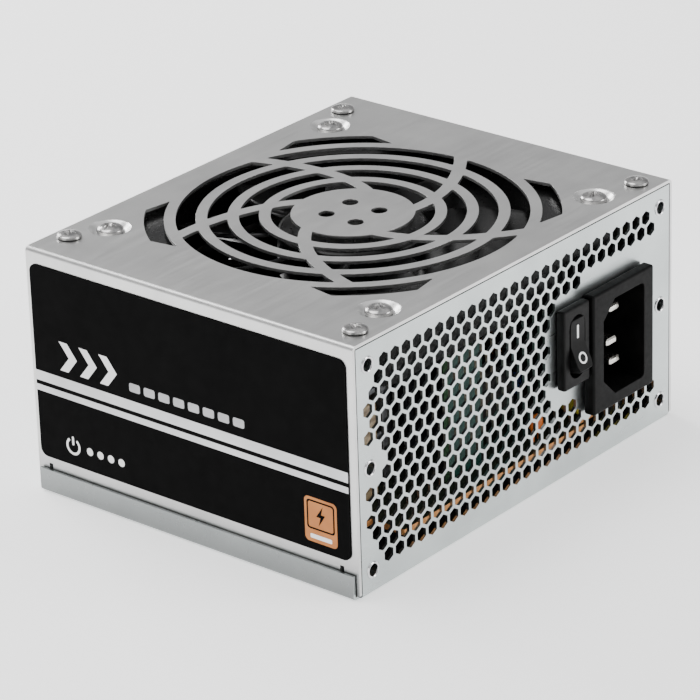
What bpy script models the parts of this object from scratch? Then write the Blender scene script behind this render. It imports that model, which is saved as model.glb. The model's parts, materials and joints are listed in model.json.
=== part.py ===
"""Small-form-factor computer power supply: a folded steel case with a honeycomb inlet panel,
a 92 mm fan under a stamped swirl grille, a mains inlet with its rocker switch, and the
electronics inside. Metres, +Z up. The origin is the middle of the case's underside, and the
inlet panel faces -Y."""

import math

import bmesh
import bpy
from mathutils import Matrix, Vector

MM = 0.001

# Case
WIDTH = 125 * MM
DEPTH = 100 * MM
HEIGHT = 63.5 * MM
SHEET = 0.8 * MM
GAP = 0.3 * MM  # air left between pieces that touch
BEND = 1.2 * MM  # outer radius of a folded edge
LIP_SHEET = 0.7 * MM
LIP_HEIGHT = 6.2 * MM
COVER_HALF = 61.5 * MM  # outer face of the cover's side wall
PANEL_HALF = COVER_HALF - SHEET - GAP  # half width of the end walls
WALL_TOP = HEIGHT - SHEET - GAP

# Inlet panel: honeycomb and the six tapped holes of the mounting pattern
HEX_PITCH = 4.05 * MM
HEX_FLATS = 3.2 * MM
HEX_COLUMNS = 29  # more than the panel is wide: holes outside its margins are dropped
HEX_ROWS = 15
HEX_CENTRE_Z = 32.2 * MM
MOUNT_X = 56.5 * MM
MOUNT_Z = (6.0 * MM, 31.75 * MM, 57.5 * MM)
MOUNT_HOLE = 1.65 * MM
MOUNT_LAND = 5.5 * MM  # no honeycomb hole is nearer than this to a tapped hole
# Plain lands round the switch and the inlet: the lowest (x, z), then the highest
PLAIN_LANDS = (
    ((12.5 * MM, 44.5 * MM), (HEIGHT, 48.0 * MM)),
    ((11.0 * MM, 20.0 * MM), (HEIGHT, 44.5 * MM)),
    ((23.0 * MM, 13.0 * MM), (HEIGHT, 51.5 * MM)),
)

# Fan
FAN_SIZE = 92 * MM
FAN_THICK = 15 * MM
FAN_HOLE_PITCH = 82.5 * MM
FAN_TOP = HEIGHT - SHEET - 1.5 * MM
FAN_BOTTOM = FAN_TOP - FAN_THICK
FAN_BORE = 44.2 * MM
HUB_RADIUS = 18.5 * MM
BLADES = 9

# Grille over the fan: slots between rings, crossed by five spiral spokes
RING_INNER = 15.0 * MM
RING_SLOT = 4.8 * MM
RING_PITCH = 7.6 * MM
FULL_RINGS = 4
SPOKES = 5
SPOKE_WIDTH = 3.2 * MM
SPOKE_TWIST = 0.75  # tangent of the angle between a spoke and the radius
SPOKE_START = math.radians(-38)  # where a spoke leaves the hub
CORNER_SQUARE = 41.8 * MM  # half size of the square that cuts the outer arcs

# Mains inlet and rocker switch, on the inlet panel
INLET_X = 36.8 * MM
INLET_Z = 30.2 * MM
INLET_FLANGE = (24.8 * MM, 31.6 * MM)
INLET_BODY = (21.6 * MM, 28.2 * MM)
INLET_PROUD = 3.5 * MM
SWITCH_X = 18.75 * MM
SWITCH_Z = 35.1 * MM
SWITCH_BEZEL = (10.3 * MM, 20.8 * MM)
SWITCH_BODY = (9.0 * MM, 18.6 * MM)
SWITCH_PROUD = 2.8 * MM
ROCKER_PIVOT_Y = -DEPTH / 2 + 0.5 * MM
ROCKER_THROW = math.radians(24)
LEVER_THROW = math.radians(16)
LEVER_PIVOT_Y = ROCKER_PIVOT_Y + 8.6 * MM

# Circuit board
BOARD_BOTTOM = 8.0 * MM
BOARD_TOP = 9.6 * MM
PART_FOOT = BOARD_TOP + GAP
BOSSES = ((-51, -34), (51, -38), (-51, 41), (52, 41))

FINISHES = {
    "steel": ((0.70, 0.71, 0.71), 0.38, 1.0),
    "bright_steel": ((0.62, 0.62, 0.62), 0.25, 1.0),
    "label": ((0.01, 0.01, 0.01), 0.45, 0.0),
    "paper": ((0.82, 0.82, 0.82), 0.6, 0.0),
    "black_plastic": ((0.03, 0.03, 0.03), 0.45, 0.0),
    "fan_plastic": ((0.02, 0.02, 0.02), 0.4, 0.0),
    "white_plastic": ((0.85, 0.83, 0.78), 0.5, 0.0),
    "tan_board": ((0.72, 0.42, 0.20), 0.6, 0.0),
    "green_board": ((0.03, 0.25, 0.18), 0.5, 0.0),
    "film": ((0.05, 0.05, 0.05), 0.6, 0.0),
    "aluminium": ((0.75, 0.75, 0.77), 0.4, 1.0),
    "ferrite": ((0.12, 0.12, 0.13), 0.7, 0.0),
    "yellow_tape": ((0.80, 0.62, 0.10), 0.5, 0.0),
    "tan_tape": ((0.70, 0.55, 0.36), 0.6, 0.0),
    "copper": ((0.72, 0.38, 0.18), 0.3, 1.0),
    "brass": ((0.75, 0.62, 0.30), 0.3, 1.0),
    "sleeve": ((0.03, 0.03, 0.05), 0.4, 0.0),
    "orange": ((0.80, 0.25, 0.06), 0.5, 0.0),
    "brown_wire": ((0.22, 0.10, 0.05), 0.5, 0.0),
    "blue_wire": ((0.05, 0.15, 0.50), 0.5, 0.0),
    "green_wire": ((0.15, 0.45, 0.10), 0.5, 0.0),
    "black_wire": ((0.03, 0.03, 0.03), 0.5, 0.0),
    "magnet": ((0.10, 0.10, 0.11), 0.6, 0.0),
}


def mm(*values):
    """Millimetres as a tuple of metres."""
    return tuple(value * MM for value in values)


# ---------------------------------------------------------------- scene and finishing


def clear_scene():
    for obj in list(bpy.data.objects):
        bpy.data.objects.remove(obj, do_unlink=True)


def finish_of(name):
    found = bpy.data.materials.get(name)
    if found:
        return found
    colour, roughness, metallic = FINISHES[name]
    made = bpy.data.materials.new(name)
    made.use_nodes = True
    shader = made.node_tree.nodes["Principled BSDF"]
    shader.inputs["Base Color"].default_value = (*colour, 1)
    shader.inputs["Roughness"].default_value = roughness
    shader.inputs["Metallic"].default_value = metallic
    made.diffuse_color = (*colour, 1)
    return made


def bake(obj):
    """The object's modifiers and its place become its mesh, with its faces pointing out."""
    bpy.context.view_layer.update()
    graph = bpy.context.evaluated_depsgraph_get()
    mesh = bpy.data.meshes.new_from_object(obj.evaluated_get(graph))
    work = bmesh.new()
    work.from_mesh(mesh)
    bmesh.ops.remove_doubles(work, verts=work.verts, dist=0.0005 * MM)
    bmesh.ops.recalc_face_normals(work, faces=work.faces)
    work.to_mesh(mesh)
    work.free()
    mesh.transform(obj.matrix_world)
    if obj.type == "MESH":
        obj.modifiers.clear()
        obj.data = mesh
        obj.matrix_world = Matrix.Identity(4)
        return obj
    made = bpy.data.objects.new(obj.name, mesh)
    bpy.context.scene.collection.objects.link(made)
    bpy.data.objects.remove(obj, do_unlink=True)
    return made


def keep(obj, name, finish, parent=None):
    """Names a finished piece, gives it its material and its place in the assembly."""
    obj.name = name
    obj.data.name = name
    obj.data.materials.clear()
    obj.data.materials.append(finish_of(finish))
    obj.data.shade_smooth()
    obj.data.set_sharp_from_angle(angle=math.radians(30))
    for collection in list(obj.users_collection):
        collection.objects.unlink(obj)
    bpy.data.collections["power_supply"].objects.link(obj)
    if parent:
        bpy.context.view_layer.update()
        obj.parent = parent
        obj.matrix_parent_inverse = parent.matrix_world.inverted()
    return obj


def axis_empty(name, place):
    empty = bpy.data.objects.new(name, None)
    empty.location = place
    empty.empty_display_size = 10 * MM
    bpy.data.collections["power_supply"].objects.link(empty)
    return empty


# ---------------------------------------------------------------- shapes


def box(low, high):
    low, high = Vector(low), Vector(high)
    bpy.ops.mesh.primitive_cube_add(size=1, location=(low + high) / 2, scale=high - low)
    bpy.ops.object.transform_apply(location=False, rotation=False, scale=True)
    return bpy.context.object


def rounded_box(low, high, radius, segments=2):
    obj = box(low, high)
    bevel = obj.modifiers.new("Edges", "BEVEL")
    bevel.width = radius
    bevel.segments = segments
    return bake(obj)


AXIS_TURN = {"Z": (0, 0, 0), "Y": (math.pi / 2, 0, 0), "X": (0, math.pi / 2, 0)}


def cylinder(radius, length, centre, axis="Z", segments=24):
    bpy.ops.mesh.primitive_cylinder_add(
        vertices=segments, radius=radius, depth=length, location=centre, rotation=AXIS_TURN[axis]
    )
    return bpy.context.object


def turned(profile, place=(0, 0, 0), turn=(0, 0, 0), steps=24, ring=False):
    """A solid of revolution about its own Z, from (radius, height) points.

    A ring's profile closes on itself."""
    mesh = bpy.data.meshes.new("profile")
    count = len(profile)
    edges = [(i, (i + 1) % count) for i in range(count if ring else count - 1)]
    mesh.from_pydata([(r, 0, z) for r, z in profile], edges, [])
    obj = bpy.data.objects.new("turned", mesh)
    bpy.context.scene.collection.objects.link(obj)
    screw = obj.modifiers.new("Turn", "SCREW")
    screw.axis = "Z"
    screw.steps = steps
    screw.render_steps = steps
    screw.use_merge_vertices = True
    screw.merge_threshold = 0.001 * MM
    obj.location = place
    obj.rotation_euler = turn
    return bake(obj)


PLANE_TURN = {
    "XY": Matrix.Identity(4),
    "XZ": Matrix.Rotation(math.pi / 2, 4, "X"),
    "YZ": Matrix(((0, 0, 1, 0), (1, 0, 0, 0), (0, 1, 0, 0), (0, 0, 0, 1))),
}


def prism(outlines, thickness, plane="XY", centre=(0, 0, 0)):
    """Flat outlines with holes, as thick as asked: XY is thick along Z, XZ along Y and YZ along X."""
    curve = bpy.data.curves.new("outline", "CURVE")
    curve.dimensions = "2D"
    curve.fill_mode = "BOTH"
    curve.extrude = thickness / 2
    for outline in outlines:
        spline = curve.splines.new("POLY")
        spline.points.add(len(outline) - 1)
        for point, (u, v) in zip(spline.points, outline):
            point.co = (u, v, 0, 1)
        spline.use_cyclic_u = True
    obj = bpy.data.objects.new("prism", curve)
    bpy.context.scene.collection.objects.link(obj)
    obj.matrix_world = Matrix.Translation(centre) @ PLANE_TURN[plane]
    return bake(obj)


def folded_strip(path, thickness, length, plane, inward):
    """Sheet metal of one thickness folded along a path of (u, v) points, and as long as asked across it.
    The path is the outer face, and inward is the side of it that the metal is on, 1 or -1."""
    mesh = bpy.data.meshes.new("sheet")
    turn = PLANE_TURN[plane]
    verts, faces = [], []
    for end in (-length / 2, length / 2):
        verts += [turn @ Vector((u, v, end)) for u, v in path]
    count = len(path)
    for i in range(count - 1):
        faces.append((i, i + 1, count + i + 1, count + i))
    mesh.from_pydata(verts, [], faces)
    obj = bpy.data.objects.new("sheet", mesh)
    bpy.context.scene.collection.objects.link(obj)
    solidify = obj.modifiers.new("Thickness", "SOLIDIFY")
    solidify.thickness = thickness
    solidify.offset = -inward
    solidify.use_even_offset = True
    return bake(obj)


def arc(centre, radius, start, end, steps):
    """Points along an arc, from start to end degrees, both ends included."""
    made = []
    for i in range(steps + 1):
        angle = math.radians(start + (end - start) * i / steps)
        made.append((centre[0] + radius * math.cos(angle), centre[1] + radius * math.sin(angle)))
    return made


def rounded_outline(half_u, half_v, radius, centre=(0, 0), steps=3):
    made = []
    for quarter, (su, sv) in enumerate(((1, 1), (-1, 1), (-1, -1), (1, -1))):
        corner = (centre[0] + su * (half_u - radius), centre[1] + sv * (half_v - radius))
        made += arc(corner, radius, 90 * quarter, 90 * quarter + 90, steps)
    return made


def route(points, radius):
    """Points two and a half diameters apart along a smooth curve through the given ones."""
    ends = [Vector(p) for p in (points[0], *points, points[-1])]
    made = []
    for a, b, c, d in zip(ends, ends[1:], ends[2:], ends[3:]):
        steps = max(1, round((c - b).length / (5 * radius)))
        for i in range(steps):
            t = i / steps
            made.append(
                0.5 * (2 * b + (c - a) * t + (2 * a - 5 * b + 4 * c - d) * t**2
                       + (3 * b - a - 3 * c + d) * t**3)
            )
    return [*made, ends[-1]]


def tube(points, radius):
    curve = bpy.data.curves.new("wire", "CURVE")
    curve.dimensions = "3D"
    curve.bevel_depth = radius
    curve.bevel_resolution = 2
    curve.use_fill_caps = True
    spline = curve.splines.new("POLY")
    path = route(points, radius)
    spline.points.add(len(path) - 1)
    for point, place in zip(spline.points, path):
        point.co = (*place, 1)
    obj = bpy.data.objects.new("wire", curve)
    bpy.context.scene.collection.objects.link(obj)
    return bake(obj)


def combine(obj, tools, operation):
    for tool in tools if isinstance(tools, (list, tuple)) else [tools]:
        boolean = obj.modifiers.new("Combine", "BOOLEAN")
        boolean.operation = operation
        boolean.object = tool
        boolean.solver = "EXACT"
        bake(obj)
        bpy.data.objects.remove(tool, do_unlink=True)
    return obj


def cut(obj, tools):
    return combine(obj, tools, "DIFFERENCE")


def join(obj, tools):
    return combine(obj, tools, "UNION")


# ---------------------------------------------------------------- case


def honeycomb_centres():
    """Where the honeycomb holes are on the inlet panel, as (x, z)."""
    row_pitch = HEX_PITCH * math.sin(math.radians(60))
    found = []
    for row in range(HEX_ROWS):
        z = HEX_CENTRE_Z + (HEX_ROWS // 2 - row) * row_pitch
        odd = row % 2 == 0
        for column in range(-HEX_COLUMNS // 2, HEX_COLUMNS // 2 + 1):
            x = (column + (0.5 if odd else 0)) * HEX_PITCH
            near_hole = any(
                math.hypot(x - side * MOUNT_X, z - hole) < MOUNT_LAND
                for side in (-1, 1)
                for hole in MOUNT_Z
            )
            in_land = any(
                low[0] < x < high[0] and low[1] < z < high[1] for low, high in PLAIN_LANDS
            )
            in_panel = abs(x) < MOUNT_X + 0.5 * MM
            if in_panel and not near_hole and not in_land:
                found.append((x, z))
    return found


def honeycomb_cutter():
    mesh = bpy.data.meshes.new("honeycomb")
    work = bmesh.new()
    corner = HEX_FLATS / math.sqrt(3)
    stand = Matrix.Rotation(math.pi / 2, 4, "X")
    for x, z in honeycomb_centres():
        bmesh.ops.create_cone(
            work, cap_ends=True, segments=6, radius1=corner, radius2=corner, depth=5 * SHEET,
            matrix=Matrix.Translation((x, -DEPTH / 2 + SHEET / 2, z)) @ stand,
        )
    work.to_mesh(mesh)
    work.free()
    obj = bpy.data.objects.new("honeycomb", mesh)
    bpy.context.scene.collection.objects.link(obj)
    return obj


def end_wall(side):
    """The inlet panel (side -1) or the cable end (side 1), with its fold into the floor."""
    half, radius = DEPTH / 2, 1.0 * MM
    fold = arc((-half + radius, radius), radius, 180, 270, 4)
    path = [(-half, WALL_TOP), *fold, (-half + 3 * MM, 0)]
    wall = folded_strip(path, SHEET, 2 * PANEL_HALF, "YZ", 1)
    if side > 0:
        wall.rotation_euler = (0, 0, math.pi)
    return wall


def chassis_tabs():
    """Tabs at the top corners that take the cover screws, and the side flanges of the end walls."""
    made = []
    tab_inner, tab_outer, tab_reach = 48 * MM, 60 * MM, 10.5 * MM
    flange_reach, flange_top, flange_foot = 6.5 * MM, 54.5 * MM, 3.5 * MM
    for end in (-1, 1):
        for side in (-1, 1):
            y_out, y_in = end * (DEPTH / 2 - 0.2 * MM), end * (DEPTH / 2 - tab_reach)
            x_in, x_out = side * tab_inner, side * tab_outer
            top = WALL_TOP - 0.1 * MM
            tab = box((min(x_in, x_out), min(y_in, y_out), top - SHEET),
                      (max(x_in, x_out), max(y_in, y_out), top))
            flange_y = end * (DEPTH / 2 - flange_reach)
            x_a, x_b = side * (PANEL_HALF - SHEET - 0.05 * MM), side * (PANEL_HALF - 0.05 * MM)
            flange = box((min(x_a, x_b), min(flange_y, y_out), flange_foot),
                         (max(x_a, x_b), max(flange_y, y_out), flange_top))
            made += [tab, flange]
    return made


COVER_SCREWS = (mm(-54, -44.8), mm(54, -44.8), mm(-51.2, 45.2), mm(51.2, 45.2))
OUTLET = {"x": 0.0, "z": 30 * MM, "half": (15 * MM, 10 * MM)}  # cable outlet in the far end wall


def base_chassis():
    lip_half = WIDTH / 2
    radius = 0.9 * MM
    left = [(-lip_half, LIP_HEIGHT), *arc((-lip_half + radius, radius), radius, 180, 270, 4)]
    right = [(-u, v) for u, v in reversed(left)]
    floor_length = DEPTH - 2 * MM
    body = folded_strip([*left, *right], LIP_SHEET, floor_length, "XZ", 1)
    join(body, [end_wall(-1), end_wall(1)])
    join(body, chassis_tabs())
    for x, y in BOSSES:
        boss = turned(
            [(0, BOARD_BOTTOM - GAP), mm(3.0, BOARD_BOTTOM / MM - 0.3), mm(4.2, 0.4), (0, 0.4 * MM)],
            place=mm(x, y, 0), steps=12,
        )
        join(body, boss)
        cut(body, cylinder(1.8 * MM, 5 * MM, mm(x, y, 7), segments=12))
    for side in (-1, 1):
        for z in MOUNT_Z:
            collar_reach = 1.6 * MM
            y = -DEPTH / 2 + SHEET / 2 + collar_reach / 2
            collar_length = SHEET + collar_reach - 0.4 * MM
            join(body, cylinder(2.5 * MM, collar_length, (side * MOUNT_X, y, z), "Y", 14))
    for side in (-1, 1):
        for z in MOUNT_Z:
            cut(body, cylinder(MOUNT_HOLE, 8 * MM, (side * MOUNT_X, -DEPTH / 2, z), "Y", 14))
    for x, y in COVER_SCREWS:
        cut(body, cylinder(1.6 * MM, 6 * MM, (x, y, WALL_TOP), segments=12))
    panel_y = -DEPTH / 2
    for (half_x, half_z), (x, z) in (
        ((INLET_BODY[0] / 2, INLET_BODY[1] / 2), (INLET_X, INLET_Z)),
        ((SWITCH_BODY[0] / 2, SWITCH_BODY[1] / 2), (SWITCH_X, SWITCH_Z)),
    ):
        cut(body, box((x - half_x - GAP, panel_y - 3 * MM, z - half_z - GAP),
                      (x + half_x + GAP, panel_y + 3 * MM, z + half_z + GAP)))
    cut(body, honeycomb_cutter())
    outlet = prism([rounded_outline(*OUTLET["half"], 4 * MM)], 6 * MM, "XZ",
                   (OUTLET["x"], DEPTH / 2, OUTLET["z"]))
    cut(body, outlet)
    keep(body, "base_chassis", "steel")


def spoke_angle(radius):
    """Angle of a spoke's middle line at this radius: the spokes are logarithmic spirals."""
    return SPOKE_START + SPOKE_TWIST * math.log(radius / (RING_INNER + RING_SLOT / 2))


def spoke_half_angle(radius):
    return SPOKE_WIDTH / 2 * math.sqrt(1 + SPOKE_TWIST**2) / radius


def slot_outline(inner, outer, spoke, steps=5):
    """One slot of a ring, from one spoke to the next, as a closed outline."""
    turn = 2 * math.pi / SPOKES
    points = []
    for radius, forward in ((outer, True), (inner, False)):
        start = spoke_angle(radius) + spoke * turn + spoke_half_angle(radius)
        end = spoke_angle(radius) + (spoke + 1) * turn - spoke_half_angle(radius)
        if not forward:
            start, end = end, start
        for i in range(steps + 1):
            angle = start + (end - start) * i / steps
            points.append((radius * math.cos(angle), radius * math.sin(angle)))
    return points


def corner_outline(inner, outer, quarter, steps=4):
    """The arc of the outermost ring that fits in a corner of the grille's square."""
    points = []
    blunt = math.radians(3.5)  # keeps the inner arc's ends from running out to a point
    for radius, forward in ((outer, True), (inner, False)):
        edge = math.acos(CORNER_SQUARE / radius) + (0 if forward else blunt)
        start, end = (edge, math.pi / 2 - edge) if forward else (math.pi / 2 - edge, edge)
        for i in range(steps + 1):
            angle = start + (end - start) * i / steps + quarter * math.pi / 2
            points.append((radius * math.cos(angle), radius * math.sin(angle)))
    return points


def grille_outlines():
    made = []
    for ring in range(FULL_RINGS):
        inner = RING_INNER + ring * RING_PITCH
        made += [slot_outline(inner, inner + RING_SLOT, spoke) for spoke in range(SPOKES)]
    inner = RING_INNER + FULL_RINGS * RING_PITCH
    made += [corner_outline(inner, inner + RING_SLOT, quarter) for quarter in range(4)]
    return made


def fan_screw_places():
    half = FAN_HOLE_PITCH / 2
    return [(x, y) for x in (-half, half) for y in (-half, half)]


def dimple(x, y):
    """The dished seat pressed round a fan screw."""
    top = HEIGHT - 0.1 * MM
    depth = 1.2 * MM
    profile = [
        (5.4 * MM, top), (5.4 * MM, HEIGHT - SHEET + 0.1 * MM), (3.6 * MM, HEIGHT - SHEET - depth),
        (2.4 * MM, HEIGHT - SHEET - depth), (2.4 * MM, HEIGHT - depth), (3.8 * MM, HEIGHT - depth),
    ]
    return turned(profile, place=(x, y, 0), steps=16, ring=True)


def top_cover():
    foot = SHEET + GAP
    left = [(-COVER_HALF, foot), *reversed(arc((-COVER_HALF + BEND, HEIGHT - BEND), BEND, 90, 180, 4))]
    right = [(-u, v) for u, v in reversed(left)]
    body = folded_strip([*left, *right], SHEET, DEPTH, "XZ", -1)
    middle = HEIGHT - SHEET / 2
    cut(body, prism(grille_outlines(), 4 * SHEET, "XY", (0, 0, middle)))
    pitch = 4.5 * MM
    for x in (-pitch, pitch):
        for y in (-pitch, pitch):
            cut(body, cylinder(2.0 * MM, 4 * SHEET, (x, y, middle), segments=16))
    for x, y in fan_screw_places():
        cut(body, cylinder(5.0 * MM, 4 * SHEET, (x, y, middle), segments=16))
        join(body, dimple(x, y))
    for x, y in COVER_SCREWS:
        cut(body, cylinder(1.9 * MM, 4 * SHEET, (x, y, middle), segments=12))
    slot_half_y, slot_foot, slot_top = 0.6 * MM, LIP_HEIGHT - 0.8 * MM, LIP_HEIGHT + 1.4 * MM
    for side in (-1, 1):
        for y in mm(-45, 46):
            cut(body, box((side * COVER_HALF - 2 * MM, y - slot_half_y, slot_foot),
                          (side * COVER_HALF + 2 * MM, y + slot_half_y, slot_top)))
    keep(body, "top_cover", "steel")


def screw(head_radius, head_height, shank_radius, shank_length, place):
    """A pan head screw with a cross recess, standing on the point where its head's underside is."""
    profile = [
        (0, head_height), (head_radius * 0.75, head_height * 0.88), (head_radius, head_height * 0.35),
        (head_radius, 0), (shank_radius, 0), (shank_radius, -shank_length), (0, -shank_length),
    ]
    obj = turned(profile, place=place, steps=12)
    arm, width, deep = head_radius * 0.6, head_radius * 0.16, head_height * 0.75
    top = place[2] + head_height + 0.2 * MM
    bars = []
    for half_x, half_y in ((arm, width), (width, arm)):
        bars.append(box((place[0] - half_x, place[1] - half_y, top - 0.2 * MM - deep),
                        (place[0] + half_x, place[1] + half_y, top)))
    return cut(obj, join(bars[0], bars[1]))


def screws():
    for i, (x, y) in enumerate(COVER_SCREWS, 1):
        keep(screw(3.0 * MM, 1.2 * MM, 1.25 * MM, 5 * MM, (x, y, HEIGHT + 0.2 * MM)),
             f"cover_screw_{i}", "bright_steel")
    for i, (x, y) in enumerate(fan_screw_places(), 1):
        keep(screw(3.3 * MM, 1.9 * MM, 2.0 * MM, 9 * MM, (x, y, HEIGHT - 1.0 * MM)),
             f"fan_screw_{i}", "bright_steel")
    for i, (x, y) in enumerate(BOSSES, 1):
        keep(screw(2.8 * MM, 1.8 * MM, 1.4 * MM, 5 * MM, (x * MM, y * MM, PART_FOOT)),
             f"board_screw_{i}", "bright_steel")


def labels():
    thickness = 0.25 * MM
    half_y, half_z, radius = 48.4 * MM, 25.2 * MM, 2.2 * MM
    outer = COVER_HALF + 0.1 * MM + thickness / 2
    outline = rounded_outline(half_y, half_z, radius)
    keep(prism([outline], thickness, "YZ", (-outer, 0.4 * MM, 34.6 * MM)), "side_label", "label")
    rating = rounded_outline(38 * MM, 21 * MM, 1.5 * MM)
    keep(prism([rating], thickness, "YZ", (outer, 0, 34 * MM)), "rating_label", "paper")


# ---------------------------------------------------------------- fan


def fan_frame():
    half = FAN_SIZE / 2
    hole = FAN_HOLE_PITCH / 2
    outlines = [rounded_outline(half, half, 4.5 * MM), arc((0, 0), FAN_BORE, 0, 352.5, 47)]
    body = prism(outlines, FAN_THICK, "XY", (0, 0, (FAN_TOP + FAN_BOTTOM) / 2))
    strut_height, plate_height, plate_radius = 2.6 * MM, 1.8 * MM, 17 * MM
    plate = cylinder(plate_radius, plate_height, (0, 0, FAN_BOTTOM + plate_height / 2), segments=40)
    for i in range(4):
        strut = box((plate_radius - 3 * MM, -1.6 * MM, FAN_BOTTOM + 0.05 * MM),
                    (FAN_BORE + 1.2 * MM, 1.6 * MM, FAN_BOTTOM + strut_height))
        angle = math.radians(28 + 90 * i)
        strut.location = Matrix.Rotation(angle, 3, "Z") @ strut.location
        strut.rotation_euler = (0, 0, angle)
        join(plate, strut)
    tube_top = FAN_BOTTOM + 9.5 * MM
    join(plate, cylinder(4.3 * MM, tube_top - FAN_BOTTOM - 0.5 * MM,
                         (0, 0, (tube_top + FAN_BOTTOM + 0.5 * MM) / 2), segments=24))
    cut(plate, cylinder(3.2 * MM, 10 * MM, (0, 0, FAN_BOTTOM + 6.3 * MM), segments=24))
    join(body, plate)
    for x in (-hole, hole):
        for y in (-hole, hole):
            cut(body, cylinder(2.35 * MM, 2 * FAN_THICK, (x, y, FAN_BOTTOM), segments=16))
    keep(body, "fan_frame", "fan_plastic")


def blade(angle, low, high):
    """One swept, twisted blade: a flat grid laid along the radius, then thickened."""
    across, along = 3, 3
    bpy.ops.mesh.primitive_grid_add(x_subdivisions=along, y_subdivisions=across, size=2)
    obj = bpy.context.object
    root, tip = HUB_RADIUS - 1.0 * MM, FAN_BORE - 1.0 * MM
    middle = (low + high) / 2
    for vertex in obj.data.vertices:
        out, chord = (vertex.co.x + 1) / 2, vertex.co.y
        radius = root + (tip - root) * out
        chord_angle = math.radians(17.5)
        sweep = math.radians(16) * out**1.5
        camber = math.radians(2.5) * (1 - chord**2)
        turn = angle - sweep + chord * chord_angle + camber
        drop = (high - low) / 2 * (1 - 0.22 * out)
        vertex.co = (radius * math.cos(turn), radius * math.sin(turn), middle + chord * drop)
    solidify = obj.modifiers.new("Thickness", "SOLIDIFY")
    solidify.thickness = 1.2 * MM
    solidify.offset = 0
    return bake(obj)


def fan_rotor():
    axis = axis_empty("fan_axis", (0, 0, FAN_BOTTOM))
    top, foot = FAN_TOP - 1.0 * MM, FAN_BOTTOM + 3.4 * MM
    wall, boss = 1.6 * MM, 3.2 * MM
    ceiling = top - 1.8 * MM
    cup = turned(
        [(0, top), (HUB_RADIUS - 1.2 * MM, top), (HUB_RADIUS, top - 1.2 * MM), (HUB_RADIUS, foot),
         (HUB_RADIUS - wall, foot), (HUB_RADIUS - wall, ceiling), (boss, ceiling),
         (boss, ceiling - 1.8 * MM), (1.8 * MM, ceiling - 1.8 * MM), (1.8 * MM, top - 0.9 * MM),
         (0, top - 0.9 * MM)],
        steps=32,
    )
    for i in range(BLADES):
        join(cup, blade(2 * math.pi * i / BLADES, foot + 0.6 * MM, top - 0.8 * MM))
    keep(cup, "fan_impeller", "fan_plastic", axis)
    magnet_outer, magnet_inner = HUB_RADIUS - wall - GAP, HUB_RADIUS - wall - 2.2 * MM
    ring = [(magnet_outer, ceiling - GAP), (magnet_outer, foot + 0.6 * MM),
            (magnet_inner, foot + 0.6 * MM), (magnet_inner, ceiling - GAP)]
    keep(turned(ring, steps=32, ring=True), "fan_magnet_ring", "magnet", axis)
    shaft_top, shaft_foot = top - 1.2 * MM, FAN_BOTTOM + 2.6 * MM
    keep(cylinder(1.45 * MM, shaft_top - shaft_foot, (0, 0, (shaft_top + shaft_foot) / 2), segments=16),
         "fan_shaft", "bright_steel", axis)


def fan_motor():
    bearing_low, bearing_high = FAN_BOTTOM + 2.4 * MM, FAN_BOTTOM + 9.0 * MM
    outer, bore = 2.85 * MM, 1.7 * MM
    ring = [(outer, bearing_high), (outer, bearing_low), (bore, bearing_low), (bore, bearing_high)]
    keep(turned(ring, steps=20, ring=True), "fan_bearing", "brass")
    board_low = FAN_BOTTOM + 2.2 * MM
    board = prism([arc((0, 0), 13.8 * MM, 0, 348.75, 31), arc((0, 0), 4.8 * MM, 0, 345, 23)],
                  0.8 * MM, "XY", (0, 0, board_low + 0.4 * MM))
    keep(board, "fan_driver_board", "green_board")
    low, high = board_low + 1.2 * MM, FAN_BOTTOM + 9.6 * MM
    middle, height = (low + high) / 2, high - low
    stator = cylinder(7.5 * MM, height * 0.5, (0, 0, middle), segments=24)
    for i in range(4):
        angle = math.pi / 2 * i
        arm = box((6 * MM, -1.6 * MM, middle - height * 0.2), (12.2 * MM, 1.6 * MM, middle + height * 0.2))
        coil = rounded_box((7.8 * MM, -3.4 * MM, middle - height * 0.48),
                           (10.8 * MM, 3.4 * MM, middle + height * 0.48), 0.8 * MM, 1)
        shoe = box((11.6 * MM, -5.4 * MM, middle - height * 0.3), (13 * MM, 5.4 * MM, middle + height * 0.3))
        join(arm, [coil, shoe])
        arm.location = Matrix.Rotation(angle, 3, "Z") @ arm.location
        arm.rotation_euler = (0, 0, angle)
        join(stator, arm)
    cut(stator, cylinder(4.7 * MM, 2 * height, (0, 0, middle), segments=24))
    keep(stator, "fan_stator", "copper")


# ---------------------------------------------------------------- mains inlet and switch


def socket_outline(grow=0.0):
    """The mains socket's mouth: a rectangle with the two corners on the earth side cut off."""
    half_x, half_z, corner = 8.3 * MM + grow, 12.5 * MM + grow, 4.6 * MM
    radius = 1.2 * MM
    right_top = arc((half_x - radius, half_z - radius), radius, 0, 90, 3)
    right_foot = arc((half_x - radius, -half_z + radius), radius, -90, 0, 3)
    return [*right_foot, *right_top, (-half_x + corner, half_z), (-half_x, half_z - corner),
            (-half_x, -half_z + corner), (-half_x + corner, -half_z)]


PIN_PITCH = 7.0 * MM
PIN_SHIFT = 2.0 * MM
SOCKET_FLOOR_Y = -DEPTH / 2 - INLET_PROUD + 16.5 * MM
INLET_BACK_Y = SOCKET_FLOOR_Y + 2.5 * MM
INLET_PINS = (
    ("inlet_pin_line", PIN_SHIFT, PIN_PITCH, 4.1 * MM),
    ("inlet_pin_neutral", PIN_SHIFT, -PIN_PITCH, 4.1 * MM),
    ("inlet_pin_earth", -PIN_SHIFT, 0.0, 2.1 * MM),
)


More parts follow.
